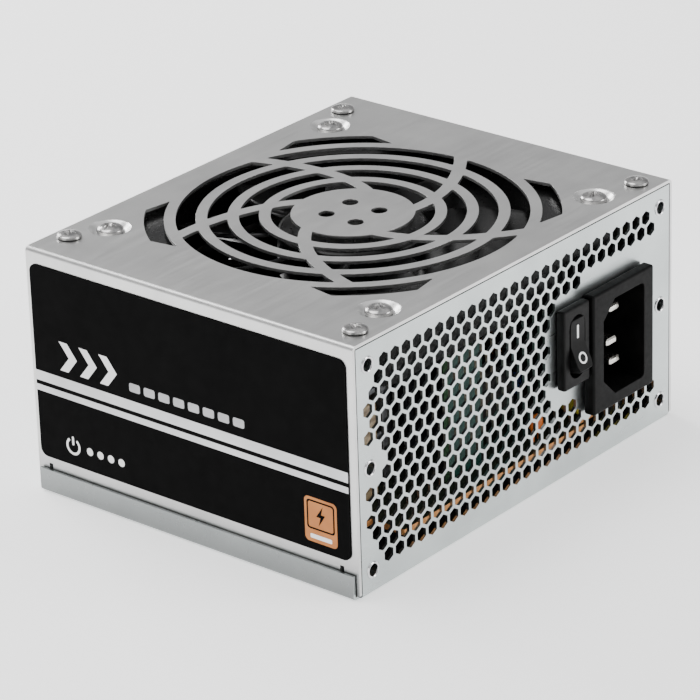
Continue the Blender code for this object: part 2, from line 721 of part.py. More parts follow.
def inlet():
    front, panel = -DEPTH / 2 - INLET_PROUD, -DEPTH / 2
    half_x, half_z = INLET_FLANGE[0] / 2, INLET_FLANGE[1] / 2
    flange = rounded_box((INLET_X - half_x, front, INLET_Z - half_z),
                         (INLET_X + half_x, panel - GAP, INLET_Z + half_z), 0.6 * MM, 2)
    half_x, half_z = INLET_BODY[0] / 2, INLET_BODY[1] / 2
    body = rounded_box((INLET_X - half_x, panel - 1.5 * MM, INLET_Z - half_z),
                       (INLET_X + half_x, INLET_BACK_Y, INLET_Z + half_z), 0.8 * MM, 1)
    join(flange, body)
    cavity_front = front - 2 * MM
    cavity = prism([socket_outline()], SOCKET_FLOOR_Y - cavity_front, "XZ",
                   (INLET_X, (SOCKET_FLOOR_Y + cavity_front) / 2, INLET_Z))
    cut(flange, cavity)
    half_wide, half_thick = 2.0 * MM, 1.0 * MM
    tail = 8 * MM
    for name, shift_x, shift_z, recess in INLET_PINS:
        x, z = INLET_X + shift_x, INLET_Z + shift_z
        cut(flange, box((x - half_wide - GAP, SOCKET_FLOOR_Y - 1 * MM, z - half_thick - GAP),
                        (x + half_wide + GAP, INLET_BACK_Y + 1 * MM, z + half_thick + GAP)))
        pin = rounded_box((x - half_wide, front + recess, z - half_thick),
                          (x + half_wide, INLET_BACK_Y + tail, z + half_thick), 0.5 * MM, 1)
        keep(pin, name, "brass")
    keep(flange, "inlet_housing", "black_plastic")


def stadium(half_width, half_length, steps=8):
    """An upright outline with round ends, as (x, z) points."""
    straight = half_length - half_width
    top = arc((0, straight), half_width, 0, 180, steps)
    foot = arc((0, -straight), half_width, 180, 360, steps)
    return [*top, *foot]


ROCKER_HALF = 7.5 * MM
ROCKER_HALF_WIDTH = 2.8 * MM
TRUNNION = 1.0 * MM


def switch_housing():
    front, panel = -DEPTH / 2 - SWITCH_PROUD, -DEPTH / 2
    back = LEVER_PIVOT_Y + 4.6 * MM
    half_x, half_z = SWITCH_BEZEL[0] / 2, SWITCH_BEZEL[1] / 2
    bezel = rounded_box((SWITCH_X - half_x, front, SWITCH_Z - half_z),
                        (SWITCH_X + half_x, panel - GAP, SWITCH_Z + half_z), 0.6 * MM, 2)
    half_x, half_z = SWITCH_BODY[0] / 2, SWITCH_BODY[1] / 2
    body = box((SWITCH_X - half_x, panel - 1.2 * MM, SWITCH_Z - half_z),
               (SWITCH_X + half_x, back, SWITCH_Z + half_z))
    join(bezel, body)
    inner_x, inner_z = ROCKER_HALF_WIDTH + 0.35 * MM, ROCKER_HALF + 0.95 * MM
    mouth = prism([stadium(inner_x, ROCKER_HALF + 0.75 * MM)], 8 * MM, "XZ",
                  (SWITCH_X, front + 2 * MM, SWITCH_Z))
    cut(bezel, mouth)
    chamber_front, floor = panel + 0.5 * MM, back - 1.2 * MM
    cut(bezel, box((SWITCH_X - inner_x, chamber_front, SWITCH_Z - inner_z),
                   (SWITCH_X + inner_x, floor, SWITCH_Z + inner_z)))
    cut(bezel, cylinder(TRUNNION + 0.25 * MM, 2 * (ROCKER_HALF_WIDTH + 1.3 * MM),
                        (SWITCH_X, ROCKER_PIVOT_Y, SWITCH_Z), "X", 20))
    for z in (SWITCH_Z, SWITCH_Z - 5.0 * MM):
        cut(bezel, box((SWITCH_X - 2.3 * MM, floor - 1 * MM, z - 0.7 * MM),
                       (SWITCH_X + 2.3 * MM, back + 1 * MM, z + 0.7 * MM)))
    keep(bezel, "switch_housing", "black_plastic")
    return back


def switch_rocker():
    """The rocker, made upright on its pivot and then tipped to the end that is pressed in."""
    tip = ROCKER_THROW / 2
    crest = 3.5 * MM
    half = 6.3 * MM
    end_height = crest + half * math.tan(tip)
    reach = math.hypot(half, end_height)
    end_angle = math.degrees(math.atan2(end_height, half))
    right = arc((0, 0), reach, end_angle, -15, 4)
    left = [(-u, v) for u, v in reversed(right)]
    section = [(0, crest), *right, mm(3.2, -3.4), mm(-3.2, -3.4), *left]  # (up, out of the case)
    outline = [(-out, up) for up, out in section]
    body = prism([outline], 2 * ROCKER_HALF_WIDTH, "YZ")
    stand = prism([stadium(ROCKER_HALF_WIDTH, ROCKER_HALF)], 30 * MM, "XZ")
    combine(body, stand, "INTERSECT")
    join(body, cylinder(TRUNNION, 2 * (ROCKER_HALF_WIDTH + 1.0 * MM), (0, 0, 0), "X", 16))
    cut(body, cylinder(1.2 * MM, 4 * MM, (0, 3.6 * MM, 0), "Y", 16))
    plunger_profile = [(0, -2.0 * MM), (0.85 * MM, -2.0 * MM), (0.85 * MM, -7.4 * MM),
                       (0.55 * MM, -7.95 * MM), (0, -8.1 * MM)]
    plunger = turned(plunger_profile, turn=(math.pi / 2, 0, 0), steps=12)
    axis = axis_empty("rocker_axis", (SWITCH_X, ROCKER_PIVOT_Y, SWITCH_Z))
    for obj in (body, plunger):
        obj.location = axis.location
        obj.rotation_euler = (-tip, 0, 0)
    keep(body, "switch_rocker", "black_plastic", axis)
    keep(plunger, "switch_plunger", "white_plastic", axis)


def switch_contacts(back):
    """The see-saw contact, tipped towards the load terminal, and the two terminals."""
    axis = axis_empty("lever_axis", (SWITCH_X, LEVER_PIVOT_Y, SWITCH_Z))
    half_x, half_z, half_y = 1.4 * MM, 5.2 * MM, 0.25 * MM
    lever = box((-half_x, -half_y, -half_z), (half_x, half_y, half_z))
    lever.location = axis.location
    lever.rotation_euler = (LEVER_THROW / 2, 0, 0)
    keep(lever, "switch_contact_lever", "copper", axis)
    tail = 7 * MM
    half_tab = 2.0 * MM
    common_front = LEVER_PIVOT_Y + 0.7 * MM
    common = box((SWITCH_X - half_tab, common_front, SWITCH_Z - 0.4 * MM),
                 (SWITCH_X + half_tab, back + tail, SWITCH_Z + 0.4 * MM))
    keep(common, "switch_terminal_common", "brass")
    load_z = SWITCH_Z - 5.0 * MM
    load_front = LEVER_PIVOT_Y + 1.4 * MM
    load = box((SWITCH_X - half_tab, load_front, load_z - 0.4 * MM),
               (SWITCH_X + half_tab, back + tail, load_z + 0.4 * MM))
    keep(load, "switch_terminal_load", "brass")


# ---------------------------------------------------------------- electronics


def boards():
    rear, front = -47.7 * MM, 45 * MM
    outline = [
        mm(-57, -38), mm(-42, -38), (-42 * MM, rear), (28 * MM, rear), mm(28, -45), mm(57, -45),
        (57 * MM, front), (-57 * MM, front),
    ]
    holes = [arc(mm(x, y), 1.75 * MM, 0, 330, 11) for x, y in BOSSES]
    middle = (BOARD_TOP + BOARD_BOTTOM) / 2
    board = prism([outline, *holes], BOARD_TOP - BOARD_BOTTOM, "XY", (0, 0, middle))
    keep(board, "main_board", "tan_board")
    film_holes = [arc(mm(x, y), 4.9 * MM, 0, 330, 11) for x, y in BOSSES]
    film = prism([rounded_outline(57 * MM, 46 * MM, 3 * MM), *film_holes], 0.4 * MM, "XY",
                 (0, 0, SHEET + GAP + 0.2 * MM))
    keep(film, "insulation_sheet", "film")
    control = box(mm(-17.5, -42.0, PART_FOOT / MM), mm(-4.5, -40.4, 42.0))
    keep(control, "control_board", "green_board")


def finned_sink(x, fin_side, y_low, y_high, top, name):
    """An upright plate with fins along it on one side."""
    thick, fin_reach, fins = 2.0 * MM, 5.5 * MM, 4
    plate = box((x - thick / 2, y_low, PART_FOOT), (x + thick / 2, y_high, top))
    first, last = PART_FOOT + 12 * MM, top - 2 * MM
    for i in range(fins):
        z = first + (last - first) * i / (fins - 1)
        x_a, x_b = x + fin_side * (thick / 2 - 0.5 * MM), x + fin_side * (thick / 2 + fin_reach)
        join(plate, box((min(x_a, x_b), y_low + 0.5 * MM, z - 0.6 * MM),
                        (max(x_a, x_b), y_high - 0.5 * MM, z + 0.6 * MM)))
    keep(plate, name, "aluminium")


def transistor(name, x_face, side, y):
    """A flat power package on its three legs, against a heatsink face."""
    thick, half_y, low, high = 4.4 * MM, 5.0 * MM, 16 * MM, 31 * MM
    x_a, x_b = x_face + side * GAP, x_face + side * (GAP + thick)
    body = box((min(x_a, x_b), y - half_y, low), (max(x_a, x_b), y + half_y, high))
    x_leg = x_face + side * (GAP + thick / 2)
    for i in (-1, 0, 1):
        leg_y = y + i * 2.54 * MM
        join(body, box((x_leg - 0.35 * MM, leg_y - 0.4 * MM, PART_FOOT),
                       (x_leg + 0.35 * MM, leg_y + 0.4 * MM, low + 0.5 * MM)))
    keep(body, name, "sleeve")


def capacitor(name, radius, top, x, y, steps=18):
    foot, groove = PART_FOOT, top - 4 * MM
    profile = [
        (0, top - 0.4 * MM), (radius - 1.4 * MM, top - 0.4 * MM), (radius - 1.2 * MM, top),
        (radius - 0.5 * MM, top), (radius, top - 0.6 * MM), (radius, groove + 0.8 * MM),
        (radius - 0.7 * MM, groove), (radius, groove - 0.8 * MM), (radius, foot), (0, foot),
    ]
    keep(turned(profile, place=mm(x, y, 0), steps=steps), name, "sleeve")


def wound_ring(name, place, major, minor, finish, turns=14):
    """A ring core with its winding, as a torus with a bulge for each turn of wire."""
    bpy.ops.mesh.primitive_torus_add(
        location=place, major_segments=2 * turns, minor_segments=6, major_radius=major, minor_radius=minor
    )
    obj = bpy.context.object
    for vertex in obj.data.vertices:
        around = math.atan2(vertex.co.y, vertex.co.x)
        middle = Vector((math.cos(around), math.sin(around), 0)) * major
        bulge = 1 + 0.10 * math.cos(around * turns)
        vertex.co = middle + (vertex.co - middle) * bulge
    keep(bake(obj), name, finish)


def transformer():
    x, y = 1 * MM, -10 * MM
    core_low, core_high = 13 * MM, 39 * MM
    half_x, half_y, wide = 15 * MM, 7 * MM, 5 * MM
    window = rounded_outline(half_x - wide, (core_high - core_low) / 2 - wide, 0.5 * MM, steps=1)
    frame = rounded_outline(half_x, (core_high - core_low) / 2, 0.5 * MM, steps=1)
    core = prism([frame, window], 2 * half_y, "XZ", (x, y, (core_low + core_high) / 2))
    keep(core, "transformer_core", "ferrite")
    inner_x, inner_z = half_x - wide - GAP, core_high - core_low - 2 * wide - 2 * GAP
    middle = (core_low + core_high) / 2
    coil = rounded_box((x - inner_x, y - 12 * MM, middle - inner_z / 2),
                       (x + inner_x, y + 12 * MM, middle + inner_z / 2), 1.2 * MM, 2)
    for side in (-1, 1):
        skirt_y = y + side * 10.5 * MM
        join(coil, box((x - 9 * MM, skirt_y - 1.5 * MM, PART_FOOT),
                       (x + 9 * MM, skirt_y + 1.5 * MM, middle)))
    keep(coil, "transformer_winding", "yellow_tape")


def board_parts():
    finned_sink(-24 * MM, -1, -28 * MM, 24 * MM, 42 * MM, "primary_heatsink")
    finned_sink(24 * MM, 1, -15 * MM, 24 * MM, 42 * MM, "secondary_heatsink")
    transistor("power_transistor_1", -23 * MM, 1, -20 * MM)
    transistor("power_transistor_2", -23 * MM, 1, 10 * MM)
    transistor("output_rectifier", 23 * MM, -1, 12 * MM)
    transformer()
    capacitor("bulk_capacitor", 11 * MM, 42 * MM, -45, 18, 24)
    capacitor("output_capacitor_1", 5 * MM, 31 * MM, 40, 37)
    capacitor("output_capacitor_2", 5 * MM, 31 * MM, 27, 37)
    choke = rounded_box(mm(-44, -34, PART_FOOT / MM), mm(-33.5, -16, 36), 1.5 * MM, 2)
    keep(choke, "pfc_choke", "tan_tape")
    wound_ring("output_choke", mm(45, 14, 15.6), 7.4 * MM, 4.4 * MM, "copper")
    wound_ring("emi_choke", mm(45, -12, 15.0), 7.0 * MM, 4.0 * MM, "copper", 12)
    film_cap = rounded_box(mm(30.5, -44.3, PART_FOOT / MM), mm(46.5, -38.5, 15.6), 0.5 * MM, 1)
    keep(film_cap, "line_capacitor", "yellow_tape")
    bridge = rounded_box(mm(0, -34.5, 13.5), mm(18, -30.5, 28), 0.5 * MM, 1)
    for i in range(4):
        leg_x = 1.8 + i * 4.8
        join(bridge, box(mm(leg_x - 0.5, -32.9, PART_FOOT / MM), mm(leg_x + 0.5, -32.1, 14)))
    keep(bridge, "bridge_rectifier", "sleeve")
    disc = cylinder(4.2 * MM, 3.2 * MM, mm(13.5, -44.0, 14.6), "Y", 20)
    join(disc, box(mm(12.9, -44.4, PART_FOOT / MM), mm(14.1, -43.6, 12)))
    keep(disc, "inrush_thermistor", "orange")
    half = [mm(0, 10), mm(2.5, 10), mm(2.6, 9.6), mm(2.6, 6), mm(2.3, 5.8)]
    fuse = turned([*half, *((r, -z) for r, z in reversed(half))], steps=14,
                  place=mm(46, -31, PART_FOOT / MM + 2.8), turn=(0, math.pi / 2, 0))
    keep(fuse, "mains_fuse", "white_plastic")


def leads():
    back = INLET_BACK_Y + 8 * MM + GAP
    switch_back = LEVER_PIVOT_Y + 4.6 * MM + 7 * MM + GAP
    radius = 1.3 * MM
    line_z = INLET_Z + PIN_PITCH
    line = [(INLET_X + PIN_SHIFT, back, line_z), (INLET_X + PIN_SHIFT, back + 2 * MM, line_z),
            (INLET_X + PIN_SHIFT - 2 * MM, back + 5 * MM, line_z + 1 * MM),
            (29 * MM, back + 6 * MM, 38.5 * MM), (21 * MM, back + 5 * MM, 37 * MM),
            (SWITCH_X, switch_back + 4 * MM, SWITCH_Z + 0.8 * MM), (SWITCH_X, switch_back, SWITCH_Z)]
    keep(tube(line, radius), "line_lead", "brown_wire")
    load = [(SWITCH_X, switch_back, SWITCH_Z - 5 * MM), (SWITCH_X, switch_back + 3 * MM, SWITCH_Z - 6 * MM),
            (20 * MM, switch_back + 5 * MM, 22 * MM), (22 * MM, switch_back + 3.5 * MM, 14 * MM),
            (22 * MM, switch_back + 3.5 * MM, PART_FOOT)]
    keep(tube(load, radius), "switched_lead", "black_wire")
    neutral = [(INLET_X + PIN_SHIFT, back, INLET_Z - PIN_PITCH),
               (INLET_X + PIN_SHIFT, back + 2.6 * MM, INLET_Z - PIN_PITCH - 1.5 * MM),
               (INLET_X - 4 * MM, back + 2.5 * MM, 15 * MM), (INLET_X - 4 * MM, back + 2.5 * MM, PART_FOOT)]
    keep(tube(neutral, radius), "neutral_lead", "blue_wire")
    earth = [(INLET_X - PIN_SHIFT, back, INLET_Z), (INLET_X - PIN_SHIFT, back + 2 * MM, INLET_Z),
            (INLET_X - 1 * MM, back + 4 * MM, INLET_Z + 1 * MM),
             (INLET_X + 8 * MM, back + 5 * MM, 34 * MM), (53 * MM, back + 2 * MM, 30 * MM),
             (56 * MM, -36 * MM, 24 * MM), (56 * MM, -46 * MM, 22 * MM), (56 * MM, -48.8 * MM, 22 * MM)]
    keep(tube(earth, radius), "earth_lead", "green_wire")
    plug = rounded_box(mm(-55, 28.5, PART_FOOT / MM), mm(-49, 33.0, 18), 0.4 * MM, 1)
    keep(plug, "fan_plug", "white_plastic")
    fan = [mm(-40, 21, 44.8), mm(-45, 27, 44.3), mm(-49.5, 31.5, 42), mm(-53, 32.5, 36),
           mm(-53.5, 32, 28), mm(-52, 30.75, 22), mm(-52, 30.75, 18.3)]
    keep(tube(fan, 1.1 * MM), "fan_lead", "black_wire")


def cable_grommet():
    """The plastic bush that lines the cable outlet: a flange outside and a sleeve through the wall."""
    half_x, half_z = OUTLET["half"]
    wall = DEPTH / 2
    sleeve = prism(
        [rounded_outline(half_x - GAP, half_z - GAP, 3.7 * MM),
         rounded_outline(half_x - 2.2 * MM, half_z - 2.2 * MM, 2.2 * MM)],
        5.5 * MM, "XZ", (OUTLET["x"], wall - 1.2 * MM, OUTLET["z"]),
    )
    flange = prism(
        [rounded_outline(half_x + 2.2 * MM, half_z + 2.2 * MM, 5 * MM),
         rounded_outline(half_x - 1.2 * MM, half_z - 1.2 * MM, 3 * MM)],
        1.4 * MM, "XZ", (OUTLET["x"], wall + GAP + 0.7 * MM, OUTLET["z"]),
    )
    keep(join(sleeve, flange), "cable_grommet", "black_plastic")


def main():
    clear_scene()
    collection = bpy.data.collections.new("power_supply")
    bpy.context.scene.collection.children.link(collection)
    base_chassis()
    top_cover()
    screws()
    labels()
    fan_frame()
    fan_rotor()
    fan_motor()
    inlet()
    back = switch_housing()
    switch_rocker()
    switch_contacts(back)
    boards()
    board_parts()
    leads()
    cable_grommet()


main()
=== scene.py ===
"""Finish for a small-form-factor power supply: folded galvanised case, swirl fan grille, mains
inlet, rocker switch and the electronics behind the honeycomb. Metres, +Z up."""

import json
import math

import bmesh
import bpy
from mathutils import Matrix, Vector


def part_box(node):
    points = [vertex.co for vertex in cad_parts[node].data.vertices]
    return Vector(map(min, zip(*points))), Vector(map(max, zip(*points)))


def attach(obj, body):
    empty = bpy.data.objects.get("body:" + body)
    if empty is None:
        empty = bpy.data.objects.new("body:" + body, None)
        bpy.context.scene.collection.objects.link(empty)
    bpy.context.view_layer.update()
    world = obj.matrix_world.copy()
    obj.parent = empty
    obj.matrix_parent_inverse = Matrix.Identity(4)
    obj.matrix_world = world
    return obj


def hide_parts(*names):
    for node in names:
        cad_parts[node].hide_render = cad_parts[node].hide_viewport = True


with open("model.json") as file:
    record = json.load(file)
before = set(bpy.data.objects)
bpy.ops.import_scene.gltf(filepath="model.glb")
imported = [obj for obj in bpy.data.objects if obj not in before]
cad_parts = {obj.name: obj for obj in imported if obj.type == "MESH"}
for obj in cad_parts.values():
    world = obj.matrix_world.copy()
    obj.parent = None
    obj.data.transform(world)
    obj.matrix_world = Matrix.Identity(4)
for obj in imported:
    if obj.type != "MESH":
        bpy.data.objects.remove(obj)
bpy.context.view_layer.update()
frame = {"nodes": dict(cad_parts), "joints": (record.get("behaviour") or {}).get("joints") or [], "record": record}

MM = 0.001
TAU = 2 * math.pi


def mm(*values):
    return tuple(value * MM for value in values)


# ---------------------------------------------------------------- places taken from the frame


def middle(node):
    low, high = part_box(node)
    return (low + high) / 2


COVER_LOW, COVER_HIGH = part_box("top_cover")
LABEL_LOW, LABEL_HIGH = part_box("side_label")
RATING_LOW, RATING_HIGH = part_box("rating_label")
TOP = COVER_HIGH.z
SHEET = 0.8 * MM
JOINT_PLACES = {joint["name"]: Vector(joint["pos_m"]) for joint in frame["joints"]}
ROCKER_PIVOT = JOINT_PLACES["rocker_tip"]


# ---------------------------------------------------------------- finishes


class Finish:
    """A material under construction: its node tree, its shader and the piece's own coordinates."""

    def __init__(self, name, colour, roughness, metallic=0.0, **sockets):
        self.material = bpy.data.materials.new(name)
        self.material.use_nodes = True
        self.tree = self.material.node_tree
        self.shader = self.tree.nodes["Principled BSDF"]
        self.set("Base Color", (*colour, 1))
        self.set("Roughness", roughness)
        self.set("Metallic", metallic)
        for socket, value in sockets.items():
            self.set(socket.replace("_", " "), value)
        self.material.diffuse_color = (*colour, 1)
        self.place = self.add("ShaderNodeTexCoord").outputs["Object"]

    def set(self, socket, value):
        self.shader.inputs[socket].default_value = value

    def add(self, kind, **inputs):
        made = self.tree.nodes.new(kind)
        for key, value in inputs.items():
            if hasattr(made, key):
                setattr(made, key, value)
            elif hasattr(value, "is_output"):
                self.tree.links.new(value, made.inputs[key.replace("_", " ")])
            else:
                made.inputs[key.replace("_", " ")].default_value = value
        return made

    def stretched(self, scale):
        return self.add("ShaderNodeMapping", Vector=self.place, Scale=scale).outputs["Vector"]

    def noise(self, scale, detail=3.0, vector=None):
        made = self.add("ShaderNodeTexNoise", Vector=vector or self.place, Scale=scale, Detail=detail)
        return made.outputs["Fac"]

    def between(self, source, low, high, start=0.3, end=0.7):
        made = self.add("ShaderNodeMapRange", Value=source)
        made.inputs["From Min"].default_value = start
        made.inputs["From Max"].default_value = end
        made.inputs["To Min"].default_value = low
        made.inputs["To Max"].default_value = high
        return made.outputs["Result"]

    def tint(self, source, dark, light, start=0.3, end=0.7):
        ramp = self.add("ShaderNodeValToRGB")
        ramp.color_ramp.elements[0].position = start
        ramp.color_ramp.elements[1].position = end
        ramp.color_ramp.elements[0].color = (*dark, 1)
        ramp.color_ramp.elements[1].color = (*light, 1)
        self.tree.links.new(source, ramp.inputs["Fac"])
        self.tree.links.new(ramp.outputs["Color"], self.shader.inputs["Base Color"])
        return ramp.outputs["Color"]

    def gloss(self, source, low, high):
        self.tree.links.new(self.between(source, low, high), self.shader.inputs["Roughness"])

    def bump(self, source, strength, distance):
        made = self.add("ShaderNodeBump", Height=source, Strength=strength, Distance=distance)
        self.tree.links.new(made.outputs["Normal"], self.shader.inputs["Normal"])


def rolled_steel(name, dark, light, low_gloss, high_gloss, side_shade, foot_height):
    """Galvanised sheet: a faint mottle, streaks from the rolling along X, and painted shade darkening its X-facing
    sides low down.
    """
    made = Finish(name, light, (low_gloss + high_gloss) / 2, 1.0)
    mottle = made.tint(made.noise(70, 5), dark, light)
    # Painted shade: faces turned along X are mixed towards grey 0.1, most at the foot and fading out by
    # foot_height. This stands in for a dark reflection low on the sides.
    normal = made.add("ShaderNodeNewGeometry").outputs["True Normal"]
    facing = made.add("ShaderNodeSeparateXYZ", Vector=normal)
    side = made.add("ShaderNodeMath", operation="ABSOLUTE")
    made.tree.links.new(facing.outputs["X"], side.inputs[0])
    height = made.add("ShaderNodeSeparateXYZ", Vector=made.place).outputs["Z"]
    low = made.between(height, 1.0, 0.0, 0.0, foot_height)
    painted_shade = made.add("ShaderNodeMath", operation="MULTIPLY")
    made.tree.links.new(made.between(side.outputs[0], 0.0, side_shade, 0.6, 0.9), painted_shade.inputs[0])
    made.tree.links.new(low, painted_shade.inputs[1])
    both = made.add("ShaderNodeMix", data_type="RGBA")
    made.tree.links.new(painted_shade.outputs[0], both.inputs["Factor"])
    made.tree.links.new(mottle, both.inputs[6])
    both.inputs[7].default_value = (0.1, 0.1, 0.1, 1)
    made.tree.links.new(both.outputs[2], made.shader.inputs["Base Color"])
    streaks = made.noise(1, 6, made.stretched((60, 900, 900)))
    made.gloss(streaks, low_gloss, high_gloss)
    made.bump(made.noise(2600, 3), 0.12, 0.02 * MM)
    return made.material


def bright_metal(name, dark, light, roughness):
    made = Finish(name, light, roughness, 1.0)
    made.tint(made.noise(500, 4), dark, light)
    made.gloss(made.noise(1500, 3), roughness * 0.7, roughness * 1.4)
    made.bump(made.noise(4000, 2), 0.15, 0.02 * MM)
    return made.material


def moulded(name, dark, light, roughness, grain=0.25, sheen=0.3):
    """Moulded plastic with a fine eroded grain."""
    made = Finish(name, light, roughness, Specular_IOR_Level=sheen)
    made.tint(made.noise(250, 3), dark, light)
    made.gloss(made.noise(900, 3), roughness * 0.85, roughness * 1.2)
    made.bump(made.noise(5200, 2), grain, 0.03 * MM)
    return made.material


def printed_film(name, dark, light, roughness, sheen=0.3, ripple=0.08):
    made = Finish(name, light, roughness, Specular_IOR_Level=sheen)
    made.tint(made.noise(120, 2), dark, light)
    made.gloss(made.noise(400, 4), roughness * 0.92, roughness * 1.08)
    made.bump(made.noise(1800, 2), ripple, 0.02 * MM)
    return made.material


def laminate(name, dark, light, edge, roughness, across="Z"):
    """Circuit board: mask over a fine weave on its faces, bare laminate on its cut edges."""
    made = Finish(name, light, roughness, Specular_IOR_Level=0.3)
    face = made.tint(made.noise(900, 4), dark, light)
    normal = made.add("ShaderNodeNewGeometry").outputs["True Normal"]
    upright = made.add("ShaderNodeSeparateXYZ", Vector=normal)
    flat = made.add("ShaderNodeMath", operation="ABSOLUTE")
    made.tree.links.new(upright.outputs[across], flat.inputs[0])
    mask = made.between(flat.outputs[0], 0.0, 1.0, 0.4, 0.6)
    both = made.add("ShaderNodeMix", data_type="RGBA")
    made.tree.links.new(mask, both.inputs["Factor"])
    both.inputs[6].default_value = (*edge, 1)
    made.tree.links.new(face, both.inputs[7])
    made.tree.links.new(both.outputs[2], made.shader.inputs["Base Color"])
    weave = made.add("ShaderNodeTexWave", Vector=made.place, Scale=700.0, Distortion=2.0, Detail=2.0)
    made.bump(weave.outputs["Fac"], 0.15, 0.02 * MM)
    made.gloss(made.noise(300, 3), roughness * 0.8, roughness * 1.2)
    return made.material


def wound_tape(name, dark, light, roughness):
    """Polyester tape in overlapping turns, seen as fine bands up the winding."""
    made = Finish(name, light, roughness, Coat_Weight=0.5, Coat_Roughness=0.1)
    bands = made.add("ShaderNodeTexWave", Vector=made.place, Scale=110.0, Distortion=0.6)
    bands.bands_direction = "Z"
    made.tint(bands.outputs["Fac"], dark, light, 0.1, 0.6)
    made.bump(bands.outputs["Fac"], 0.4, 0.1 * MM)
    return made.material


FINISHES = {
    # The last two numbers of each rolled steel set its painted shade: how dark its X-facing sides get, and the
    # height above the foot over which that shade fades.
    "cover_steel": rolled_steel("cover_steel", (0.58, 0.58, 0.575), (0.68, 0.68, 0.67), 0.28, 0.36,
                                0.7, 14 * MM),
    "chassis_steel": rolled_steel("chassis_steel", (0.46, 0.495, 0.495), (0.55, 0.59, 0.585), 0.26, 0.36,
                                  0.75, 30 * MM),
    "screw_nickel": bright_metal("screw_nickel", (0.22, 0.22, 0.22), (0.50, 0.49, 0.48), 0.2),
    "tinned_brass": bright_metal("tinned_brass", (0.62, 0.60, 0.55), (0.80, 0.78, 0.73), 0.2),
    "bearing_bronze": bright_metal("bearing_bronze", (0.45, 0.28, 0.12), (0.72, 0.50, 0.24), 0.35),
    "shaft_steel": bright_metal("shaft_steel", (0.55, 0.55, 0.56), (0.75, 0.75, 0.76), 0.15),
    "extruded_aluminium": bright_metal("extruded_aluminium", (0.30, 0.31, 0.32), (0.45, 0.46, 0.48), 0.40),
    "label_black": printed_film("label_black", (0.0008, 0.0008, 0.0008), (0.0016, 0.0016, 0.0016), 0.6, 0.03,
                                0.02),
    "label_silver": printed_film("label_silver", (0.62, 0.62, 0.63), (0.76, 0.76, 0.77), 0.42),
    "label_white": printed_film("label_white", (0.84, 0.84, 0.84), (0.92, 0.92, 0.91), 0.5),
    "label_grey": printed_film("label_grey", (0.40, 0.40, 0.41), (0.50, 0.50, 0.51), 0.5),
    "label_bronze": printed_film("label_bronze", (0.40, 0.13, 0.025), (0.54, 0.20, 0.045), 0.40),
    "rating_paper": printed_film("rating_paper", (0.74, 0.74, 0.73), (0.83, 0.83, 0.82), 0.6),
    "inlet_black": moulded("inlet_black", (0.0015, 0.0015, 0.0015), (0.004, 0.004, 0.004), 0.45, 0.3, 0.07),
    "switch_black": moulded("switch_black", (0.0018, 0.0018, 0.0018), (0.005, 0.005, 0.005), 0.4, 0.3, 0.09),
    "fan_black": moulded("fan_black", (0.002, 0.002, 0.002), (0.005, 0.005, 0.005), 0.30, 0.12, 0.18),
    "grommet_black": moulded("grommet_black", (0.006, 0.006, 0.006), (0.014, 0.014, 0.014), 0.5),
    "nylon_white": moulded("nylon_white", (0.62, 0.60, 0.54), (0.78, 0.76, 0.70), 0.45, 0.1),
    "board_tan": laminate("board_tan", (0.010, 0.016, 0.010), (0.028, 0.035, 0.020),
                          (0.75, 0.34, 0.12), 0.5),
    "board_green": laminate("board_green", (0.001, 0.019, 0.015), (0.003, 0.055, 0.041), (0.10, 0.22, 0.12),
                            0.35, "Y"),
    "driver_green": laminate("driver_green", (0.002, 0.035, 0.028), (0.006, 0.10, 0.075), (0.10, 0.22, 0.12),
                             0.35),
    "film_black": printed_film("film_black", (0.02, 0.02, 0.02), (0.04, 0.04, 0.04), 0.55),
    "ferrite_grey": moulded("ferrite_grey", (0.02, 0.02, 0.022), (0.05, 0.05, 0.055), 0.65, 0.6),
    "tape_yellow": wound_tape("tape_yellow", (0.20, 0.13, 0.015), (0.38, 0.27, 0.035), 0.30),
    "tape_tan": wound_tape("tape_tan", (0.22, 0.15, 0.08), (0.38, 0.28, 0.16), 0.40),
    "film_box_yellow": moulded("film_box_yellow", (0.55, 0.45, 0.04), (0.72, 0.62, 0.08), 0.35, 0.08),
    "wire_copper": bright_metal("wire_copper", (0.30, 0.10, 0.03), (0.50, 0.22, 0.08), 0.25),
    "sleeve_black": printed_film("sleeve_black", (0.006, 0.006, 0.009), (0.016, 0.016, 0.022), 0.35),
    "package_black": moulded("package_black", (0.008, 0.008, 0.008), (0.018, 0.018, 0.018), 0.55, 0.3),
    "epoxy_orange": moulded("epoxy_orange", (0.60, 0.12, 0.02), (0.80, 0.22, 0.04), 0.30, 0.15),
    "pvc_brown": moulded("pvc_brown", (0.06, 0.02, 0.01), (0.12, 0.045, 0.02), 0.4, 0.1),
    "pvc_blue": moulded("pvc_blue", (0.01, 0.04, 0.18), (0.02, 0.09, 0.32), 0.4, 0.1),
    "pvc_green": moulded("pvc_green", (0.10, 0.20, 0.01), (0.26, 0.42, 0.03), 0.4, 0.1),
    "pvc_black": moulded("pvc_black", (0.006, 0.006, 0.006), (0.014, 0.014, 0.014), 0.4, 0.1),
}


# ---------------------------------------------------------------- mesh tools


def smooth(mesh, angle=35):
    mesh.shade_smooth()
    mesh.set_sharp_from_angle(angle=math.radians(angle))


def shown(name, mesh, finish):
    obj = bpy.data.objects.new(name, mesh)
    bpy.context.scene.collection.objects.link(obj)
    mesh.name = name
    if finish:
        mesh.materials.clear()
        mesh.materials.append(FINISHES[finish])
    return obj


def tidied(mesh, matrix=None):
    """The mesh in place, its doubles merged and its faces pointing out."""
    if matrix:
        mesh.transform(matrix)
    work = bmesh.new()
    work.from_mesh(mesh)
    bmesh.ops.remove_doubles(work, verts=work.verts, dist=0.0005 * MM)
    bmesh.ops.recalc_face_normals(work, faces=work.faces)
    work.to_mesh(mesh)
    work.free()
    return mesh


